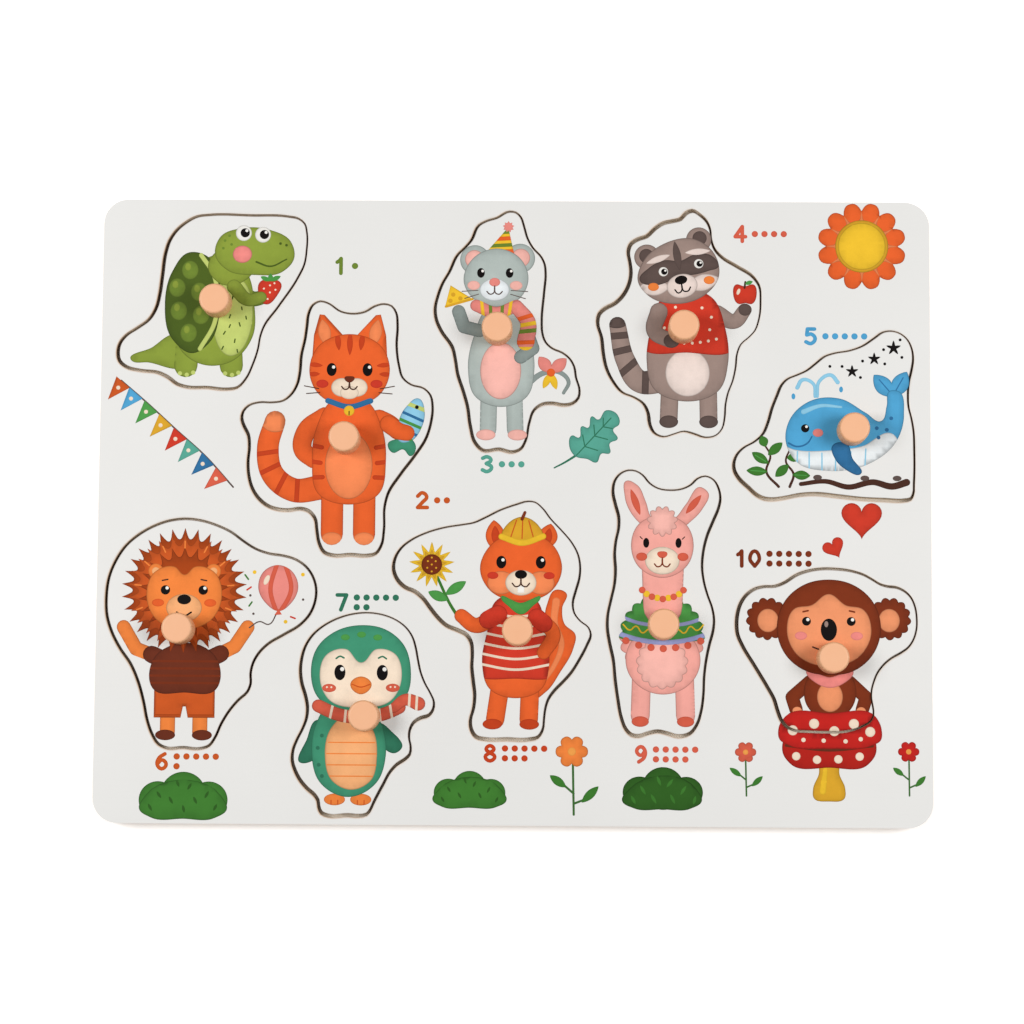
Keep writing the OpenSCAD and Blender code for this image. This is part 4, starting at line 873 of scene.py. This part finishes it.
squirrelPicture = {
    "tail": ("blob", "orange", 49, 14, 55, 17, 60, 24, 64.6, 32.4, 65.4, 37.4, 61.4, 41.4, 60.6, 47, 62, 52.4,
        58.4, 53.6, 55, 48, 54.6, 38, 55, 28, 50, 22),
    "tail glow": ("line", "apricot", 1.4, 2.8, 52.6, 19, 57.6, 26, 60.4, 34, 57.8, 42, 58.4, 49.4),
    "legs": ("lines", "orange", 6.6, 38.4, 18, 36.8, 7, 49.2, 18, 48.8, 7),
    "feet": ("ovals", "rust", 3.5, 1.9, 35.8, 5.3, 49, 5.3),
    "body": ("blob", "orange", 32, 27, 34.6, 18, 44, 14.6, 53.4, 18, 56, 27, 54.4, 38, 51, 50, 37.4, 50, 33.6,
        38),
    "shirt": ("blob", "red", 28, 24, 44, 21.6, 60, 24, 60, 40, 54, 54, 34, 54, 28, 40, "body"),
    **{f"shirt band {i}": ("line", "cream", .9, .9, 30, 27 + 3.8 * i, 44, 24.8 + 3.8 * i, 58, 27 + 3.8 * i,
                           "shirt") for i in range(6)},
    "stem": ("line", "green", 1.2, 1, 25, 41, 20.4, 48, 15.6, 58),
    "stem leaves": ("leaves", "leaf", 3.6, 19.6, 49.6, 12.4, 52.6, 18.6, 51.6, 26, 56.4),
    "petals": ("burst", "yellow", 13.6, 62.4, 4.6, 8.2, 13, .8),
    "petal glow": ("burst", "gold", 13.6, 62.4, 3.8, 5.6, 13, 1),
    "flower heart": ("dots", "brown", 3.7, 13.6, 62.4),
    "flower seeds": ("dots", "gold", .35, 13.6, 62.4, 15, 63.6, 12.2, 63.6, 15.2, 61.2, 12, 61.2, 13.6, 64.9,
        13.6, 59.9),
    "arm": ("line", "orange", 6, 5, 36, 43.6, 29.4, 40.6, 24.4, 44),
    "sleeve": ("line", "red", 6.6, 6.6, 37.6, 44.6, 34, 42.6),
    "far arm": ("line", "orange", 5.6, 5, 52, 43, 57.4, 37.6, 54, 31),
    "far sleeve": ("line", "red", 6.4, 6.4, 51.4, 43.6, 54, 41.4),
    "ears": ("leaves", "orange", 7, 37, 67, 35.8, 78.6, 54.2, 68, 56.4, 77.4),
    "inner ears": ("leaves", "rust", 3, 36.8, 69, 36.2, 76.6, 54.6, 69, 56, 75.8),
    "head": ("blob", "orange", 31, 60.6, 34.4, 53.4, 45.6, 49.4, 57, 53.4, 60.4, 61, 57.4, 69.4, 46, 74.2, 34.6,
        69.4),
    "cheek fur": ("ovals", "apricot", 5, 4.2, 38.6, 56, 52.8, 56),
    "muzzle": ("oval", "cream", 45.7, 56, 5.6, 4.6),
    "nose": ("oval", "black", 45.7, 59, 2.2, 1.6),
    "teeth": ("corners", "white", 44.5, 52.4, 46.9, 52.4, 46.9, 54.8, 44.5, 54.8),
    "mouth": ("line", "bark", .5, .5, 42.6, 55.8, 43.8, 54.6, 45.2, 55, 45.7, 57.6),
    "mouth right": ("line", "bark", .5, .5, 48.8, 55.8, 47.6, 54.6, 46.2, 55, 45.7, 57.6),
    "eyes": ("ovals", "black", 1.8, 2.3, 38.6, 63.4, 52.8, 63.4),
    "eye glints": ("dots", "white", .6, 39.2, 64.2, 53.4, 64.2),
    "cheeks": ("ovals", "red", 2, 1.3, 35.6, 58.6, 55.8, 58.6),
    "cap": ("blob", "gold", 38.6, 72.4, 40.6, 77, 46, 79.8, 51.6, 77, 53.6, 72.6, 46, 70.6),
    "cap rim": ("line", "yellow", 2.2, 2.2, 38.6, 72.6, 46, 70.4, 53.6, 72.8),
    "cap lines": ("lines", "quill", .4, 42, 72.6, 44, 78.6, 46, 72, 46.2, 79, 50, 72.6, 48.4, 78.4, "cap"),
    "cap stalk": ("line", "brown", 1.2, 1, 46, 79, 47, 81.4),
    "kerchief": ("blob", "leaf", 38.6, 50.6, 45.6, 48.8, 52.8, 50.6, 50, 47.6, 46, 44.6, 41.4, 47.4),
}
printOn("squirrel_print", "squirrel", squirrelPicture, pieceCorner("squirrel"))

llamaPicture = {
    "legs": ("lines", "pink", 6.8, 12.2, 20, 11.8, 7, 27.6, 20, 28, 7),
    "hooves": ("ovals", "brick", 3.1, 1.9, 11.8, 4.9, 28, 4.9),
    "body": ("burst", "pink", 19.5, 35.2, 15.4, 14.2, 22),
    "lower body": ("oval", "pink", 19.9, 27, 13.4, 12.4),
    "chest": ("burst", "rose", 19.6, 25.8, 9.4, 8.4, 15),
    "poncho": ("blob", "leaf", 3, 36, 12, 33.4, 20, 32.6, 28, 33.4, 37, 36, 36, 44, 28, 54, 12, 54, 3, 44,
        "body"),
    "poncho edge": ("line", "lilac", 1.7, 1.7, 3, 36.6, 12, 34, 20, 33.2, 28, 34, 37, 36.6, "body"),
    "poncho stripe": ("line", "lilac", 1.3, 1.3, 3, 43, 12, 40, 20, 39.2, 28, 40, 37, 43, "body"),
    "zigzag": ("line", "yellow", .5, .5, 5.6, 39.6, 8, 37.6, 10.2, 39, 12.6, 36.6, 15, 38, 17.4, 35.8, 20, 37.4,
        22.6, 35.8, 25, 38, 27.4, 36.6, 29.8, 39, 32, 37.6, 34.4, 39.6),
    "pompoms": ("dots", "brick", 1.3, 6.6, 33.8, 11.2, 32.2, 15.6, 31.4, 20, 31, 24.4, 31.4, 28.8, 32.2, 33.4,
        33.8),
    "neck": ("line", "pink", 14, 15, 19.8, 46, 19.8, 60),
    "garland": ("dots", "yellow", 1.2, 14, 50.6, 17.8, 49.2, 21.8, 49.2, 25.6, 50.6),
    "garland red": ("dots", "brick", 1.2, 12.4, 52, 15.9, 49.6, 19.8, 48.8, 23.7, 49.6, 27.2, 52),
    "ears": ("blob", "pink", 14.4, 74, 9.6, 78, 6, 86, 6.6, 91.4, 10.4, 90, 13.6, 84, 16, 78, 20, 76.4, 24, 78,
        28, 83, 33.6, 89.2, 36, 87.4, 33.8, 81, 29.6, 76.6, 24.6, 73),
    "inner ears": ("leaves", "brick", 2.5, 11.6, 79, 8.2, 88.4, 28, 79.6, 33.6, 86.4),
    "head": ("blob", "pink", 8.4, 68, 10.6, 61, 19.6, 56.4, 28.6, 61, 30.8, 68, 28.4, 75.4, 19.6, 79, 10.8, 75.4),
    "tuft": ("burst", "rose", 19.6, 76.8, 5.6, 4.4, 11),
    "muzzle": ("oval", "cream", 19.6, 62.6, 6.2, 5),
    "nose": ("blob", "brick", 17.8, 65.4, 19.6, 66, 21.4, 65.4, 19.6, 63.4),
    "mouth": ("line", "brown", .5, .5, 16.8, 61.4, 17.8, 60.4, 19.1, 60.8, 19.6, 63.6),
    "mouth right": ("line", "brown", .5, .5, 22.4, 61.4, 21.4, 60.4, 20.1, 60.8, 19.6, 63.6),
    "eyes": ("ovals", "black", 1.1, 1.8, 13.8, 69, 25.4, 69),
    "lashes": ("lines", "black", .35, 12.4, 70.4, 11.6, 71.2, 26.8, 70.4, 27.6, 71.2),
    "cheeks": ("ovals", "brick", 2, 1.5, 12.2, 64, 27, 64),
}
printOn("llama_print", "llama", llamaPicture, pieceCorner("llama"))

koalaPicture = {
    "ears": ("burst", "brown", 10.8, 40.4, 7.7, 6.7, 13),
    "ear two": ("burst", "brown", 54.6, 40.6, 7.7, 6.7, 13),
    "inner ears": ("ovals", "tan", 3.8, 4.2, 11, 39.8, 54.4, 40),
    "arms": ("lines", "brown", 4.8, 26, 18, 19.6, 12.4, 19.6, 12.4, 21, 8, 40, 18, 46, 12.4, 46, 12.4, 44.6, 8),
    "body": ("blob", "brown", 24.6, 10, 33, 4, 41.6, 10, 41.4, 19, 33, 24, 25, 19),
    "belly": ("oval", "tan", 33.1, 12.6, 4.6, 5.4),
    "kerchief": ("blob", "blush", 24.6, 21.4, 33, 19.6, 41.6, 21.4, 38, 17.4, 33, 15.8, 28, 17.6),
    "head": ("blob", "brown", 14.2, 37, 17.4, 27.4, 25, 21.6, 33, 20.4, 41, 21.6, 48.4, 27.6, 51.4, 37, 48.4, 47,
        41, 53, 32.8, 54.6, 24.6, 53, 17.2, 47),
    "face": ("blob", "tan", 17.8, 36, 21, 28, 32.8, 23.4, 44.6, 28, 48, 36, 45, 44, 39, 45.4, 32.8, 49.4, 26.6,
        45.4, 20.4, 44),
    "nose": ("oval", "black", 32.8, 36.6, 2.9, 4),
    "nose glint": ("oval", "taupe", 31.9, 38.6, .7, 1.1),
    "eyes": ("dots", "black", 1.6, 24.8, 39.6, 40.8, 39.6),
    "eye glints": ("dots", "white", .6, 25.3, 40.2, 41.3, 40.2),
    "brows": ("lines", "brown", .6, 23.6, 43, 25.4, 43.4, 40.2, 43.4, 42, 43),
    "cheeks": ("ovals", "blush", 2.2, 1.5, 22.8, 34.4, 42.8, 34.4),
    "smile": ("line", "bark", .55, .55, 27, 30.4, 29.6, 29.4),
    "paws": ("ovals", "tan", 1.7, 1.4, 21.4, 7.6, 44.2, 7.6),
}

# the flowerpot that the koala sits in, printed across the cut
potPicture = {
    "foot": ("blob", "gold", 29.8, -10, 29, -15, 27, -20, 27.2, -23.4, 32.6, -24.6, 38.2, -23.4, 38.4, -20, 36.4,
        -15, 35.8, -10),
    "foot glow": ("line", "yellow", 1.6, 2.4, 31.4, -13, 30.4, -21),
    "pot body": ("blob", "deep red", 16.4, -3, 16.2, -7.4, 19, -11.4, 32.8, -12.6, 46.6, -11.4, 49.4, -7.4, 49.2,
        -3, 32.8, -1),
    "pot shade": ("line", "plum", 1, 1, 17.4, -4.8, 32.8, -6.4, 48.2, -4.8, "pot body"),
    "pot dots": ("dots", "cream", 1.5, 21, -8.6, 28.4, -9.8, 36, -9.6, 43.6, -8.6, "pot body"),
    "rim": ("blob", "crimson", 15.2, -2.8, 14.8, 1.6, 17.2, 5.6, 33.2, 6.8, 49.4, 5.6, 51.4, 1.4, 51, -3, 48.2,
        -4.6, 33.2, -5.8, 18, -4.6),
    "rim dots": ("dots", "cream", 1.8, 19.8, .6, 27.4, 3, 34.6, .4, 41.6, 3, 47.4, .2),
    "rim spots": ("dots", "cream", .8, 23.6, -2.8, 30.8, -3, 38.6, -3.2, 44, -2.4),
}
printOn("koala_print", "koala", {**koalaPicture, **potPicture}, pieceCorner("koala"), nodes["koala_piece"])

numerals = {  # strokes of each numeral in a box one wide and 1.4 tall
    "0": [(.5, 0, .06, .7, .5, 1.4, .94, .7, .52, 0)],
    "1": [(.2, 1.06, .4, 1.2, .56, 1.4), (.56, 1.4, .56, 0)],
    "2": [(.06, 1.08, .48, 1.4, .9, 1.04, .5, .5, .06, .02), (.06, .02, .96, .02)],
    "3": [(.08, 1.26, .5, 1.4, .86, 1.08, .42, .76), (.42, .76, .92, .4, .5, 0, .06, .16)],
    "4": [(.7, 0, .7, 1.4), (.7, 1.4, .04, .44), (.04, .44, 1, .44)],
    "5": [(.86, 1.38, .2, 1.38), (.2, 1.38, .14, .82), (.14, .82, .54, .9, .92, .46, .5, 0, .06, .16)],
    "6": [(.78, 1.38, .28, 1.04, .08, .42, .5, 0, .92, .42, .5, .82, .14, .5)],
    "7": [(.06, 1.38, .92, 1.38), (.92, 1.38, .4, 0)],
    "8": [(.5, .76, .14, 1.08, .5, 1.4, .86, 1.08, .5, .76), (.5, .76, .06, .38, .5, 0, .94, .38, .5, .76)],
    "9": [(.86, .98, .5, .6, .1, 1, .5, 1.4, .88, 1, .76, .36, .3, 0)],
}
labels = {  # numeral, ink, middle of the label on the board in mm
    "turtle": ("1", "olive", -62, 88.8), "cat": ("2", "quill", -29.6, 3.4), "mouse": ("3", "sea", -4.6, 16.6),
    "raccoon": ("4", "brick", 88.4, 101.2), "whale": ("5", "blue", 115.6, 63.8),
    "hedgehog": ("6", "quill", -116.7, -90.9), "penguin": ("7", "deep teal", -52.9, -33.6),
    "squirrel": ("8", "rust", .7, -87.3), "llama": ("9", "brick", 54.6, -87.3),
    "koala": ("10", "brown", 92.8, -17),
}
labelSize = {"height": 5.4, "stroke": 1.35, "space": 1, "gap": 2.4, "dot": 1.15, "pitch": 3.5}  # mm


# A label: the numeral in round strokes, then that many dots in one or two rows of up to five
def labelRows(animal, numeral, ink, x, y):
    size, stroke, pitch = labelSize["height"] / 1.4, labelSize["stroke"], labelSize["pitch"]
    count, step = int(numeral), size + labelSize["space"]
    start = len(numeral) * step + labelSize["gap"]
    left, rows = x - (start + (min(count, 5) - 1) * pitch) / 2, {}
    for i, digit in enumerate(numeral):
        for j, points in enumerate(numerals[digit]):
            places = np.reshape(points, (-1, 2)) * size + (left + i * step, y - labelSize["height"] / 2)
            rows[f"{animal} {i} {j}"] = ("line", ink, stroke, stroke, *places.ravel())
    k = np.arange(count)
    lift = pitch / 2 if count > 5 else 0
    places = np.stack([left + start + k % 5 * pitch, y + np.where(k < 5, lift, -lift)], 1)
    rows[animal + " dots"] = ("dots", ink, labelSize["dot"], *places.ravel())
    return rows


# what is printed on the board, in mm from its middle
boardPicture = {
    "sun ring": ("burst", "orange", 125.5, 96.8, 16.1, 13, 12, 1.4),
    "sun rays": ("burst", "apricot", 125.5, 96.8, 9.4, 13, 12, 4),
    "sun": ("oval", "gold", 125.5, 96.8, 9.6, 9.6),
    "sun middle": ("oval", "yellow", 125.5, 96.8, 8.6, 8.6),
    "leaf stalk": ("line", "deep teal", .5, .9, 14.4, 15.4, 18.2, 17.4, 22.6, 20.2),
    "big leaf": ("blob", "sea", 22, 19.6, 19.8, 23.2, 20.8, 27.2, 23.2, 26.4, 24.4, 30.6, 26.4, 30, 28, 34.2, 30,
        33, 33, 36.4, 36.6, 35.4, 37.8, 31.4, 35.6, 29.4, 37.2, 26, 34.4, 24.4, 34.4, 20.8, 31.4, 20.6, 29.6,
        17.4, 26.4, 18.6),
    "big leaf veins": ("lines", "deep teal", .4, 22.4, 20, 34.8, 33.6, 25.4, 23.2, 24.6, 27.4, 25.4, 23.2, 30,
        21.8, 29, 27, 28.6, 31, 29, 27, 33.6, 25.8, 32, 30.4, 32, 33.6, 32, 30.4, 35.2, 29.8),
    "heart": ("heart", "red", 125, -2.2, 14.6, 0),
    "small heart": ("heart", "red", 115, -12.9, 8, 28),
    "bunting string": ("line", "umber", .6, .6, -142.6, 46.4, -133.2, 38.4, -122.4, 28.6, -111.4, 18.8, -101.4,
        7.8),
    "bush one": ("ovals", "green", 6.8, 6.6, -126.6, -104.6, -108.4, -104.6),
    "bush one middle": ("ovals", "green", 8.2, 8.2, -117.5, -102.8),
    "bush one foot": ("blob", "green", -133.2, -107.8, -129, -110.9, -117.5, -111.3, -106, -110.9, -101.8, -107.8,
        -104, -103, -131, -103),
    "bush one leaves": ("leaves", "bottle", 1, -127, -101.6, -125.4, -104, -120, -97.6, -119, -100, -114.6, -98.6,
        -116, -101, -108.4, -101.4, -109.8, -104, -122.6, -103.4, -121.2, -106, -113.8, -103.4, -112.6, -106,
        -130, -106, -128.6, -108.6, -105.4, -106, -106.6, -108.4, -117.6, -106.4, -117, -109.2),
    "bush two": ("ovals", "green", 5.2, 5, -22.8, -101.4, -7.6, -101.4),
    "bush two middle": ("ovals", "green", 6.2, 6.4, -15.2, -100),
    "bush two foot": ("blob", "green", -28.4, -104, -25, -106.4, -15.2, -106.7, -5.6, -106.4, -2, -104, -4, -100,
        -26, -100),
    "bush two leaves": ("leaves", "bottle", .8, -23.2, -99.2, -22, -101.2, -17.2, -96, -16.4, -98.2, -13, -97.2,
        -14, -99.4, -7.8, -99.2, -9, -101.4, -19.4, -101.2, -18.2, -103.4, -12, -101.2, -11, -103.4, -25.4,
        -102.8, -24.2, -104.8, -5, -102.8, -6, -104.8),
    "bush three": ("ovals", "bottle", 6, 5.6, 45.4, -100.8, 62, -100.8),
    "bush three middle": ("ovals", "bottle", 7.6, 7.6, 53.8, -99.4),
    "bush three foot": ("blob", "bottle", 39.2, -103.8, 43.4, -106.5, 53.6, -106.8, 63.6, -106.5, 67.6, -103.8,
        65.6, -99.4, 42, -99.4),
    "bush three leaves": ("leaves", "green", 1.1, 45.6, -98.4, 47.6, -101.6, 51.6, -95, 53, -98.4, 57.4, -96, 55,
        -99, 62, -98.4, 60, -101.6, 49.4, -101.4, 51.4, -104.8, 56.4, -101.4, 58, -104.8, 42.4, -102, 44, -105,
        65.4, -102, 64.6, -105),
    "big stem": ("lines", "stalk", .8, 21.6, -90, 22, -108.9, 18.4, -98.4, 21.9, -101.4, 25.6, -103.6, 22, -105),
    "stems": ("lines", "stalk", .6, 83.2, -88, 83.5, -101.8, 81.2, -94.4, 83.4, -96.2, 86.2, -97.6, 83.5, -98.8,
        141.4, -88, 141.5, -101.4, 139, -93.9, 141.4, -95.8, 144.2, -97.4, 141.5, -98.6),
    "big leaves": ("leaves", "leaf green", 3, 19.2, -99.2, 13.4, -95, 24.8, -104.6, 30.8, -98.8),
    "small leaves": ("leaves", "leaf green", 2, 81.7, -94.9, 77.5, -91.9, 85.4, -98.4, 89.3, -94.8, 139.5, -94.3,
        135.7, -91.5, 143.6, -98.2, 147.3, -94.4),
    "big flower": ("burst", "fawn", 21.2, -86.5, 5.8, 4.3, 6, 1.4),
    "pink flower": ("burst", "brick", 83.2, -86.3, 3.8, 2.8, 6, 1.4),
    "red flower": ("burst", "crimson", 141.3, -85.8, 3.8, 2.8, 6, 1.4),
    "flower hearts": ("dots", "pale orange", 1.5, 21.2, -86.5),
    "small hearts": ("dots", "pale orange", .95, 83.2, -86.3, 141.3, -85.8),
}
flag = {"half": 3.2, "drop": 8.4, "dot": .75, "dotDrop": .32}  # mm, and the dot's way down as a share
flags = {"quill": .03, "blue": .16, "leaf": .29, "gold": .42, "red": .54, "sea": .66, "deep blue": .78, "brick": .9}
string = smoothLine(boardPicture["bunting string"][4:], closed=False)
for ink, share in flags.items():
    k = int(share * (len(string) - 1))
    along = string[k + 2] - string[max(k - 2, 0)]
    along /= np.linalg.norm(along)
    drop, along = np.array([along[1], -along[0]]) * flag["drop"], along * flag["half"]
    boardPicture[ink + " flag"] = ("corners", ink, *string[k] - along, *string[k] + along, *string[k] + drop)
    boardPicture[ink + " flag dot"] = ("dots", "cream", flag["dot"], *string[k] + drop * flag["dotDrop"])
for animal, label in labels.items():
    boardPicture.update(labelRows(animal, *label))
printOn("board_print", "board", boardPicture, np.zeros(2))
printOn("board_pot_print", "board", potPicture, pieceCorner("koala"), nodes["face_board"])
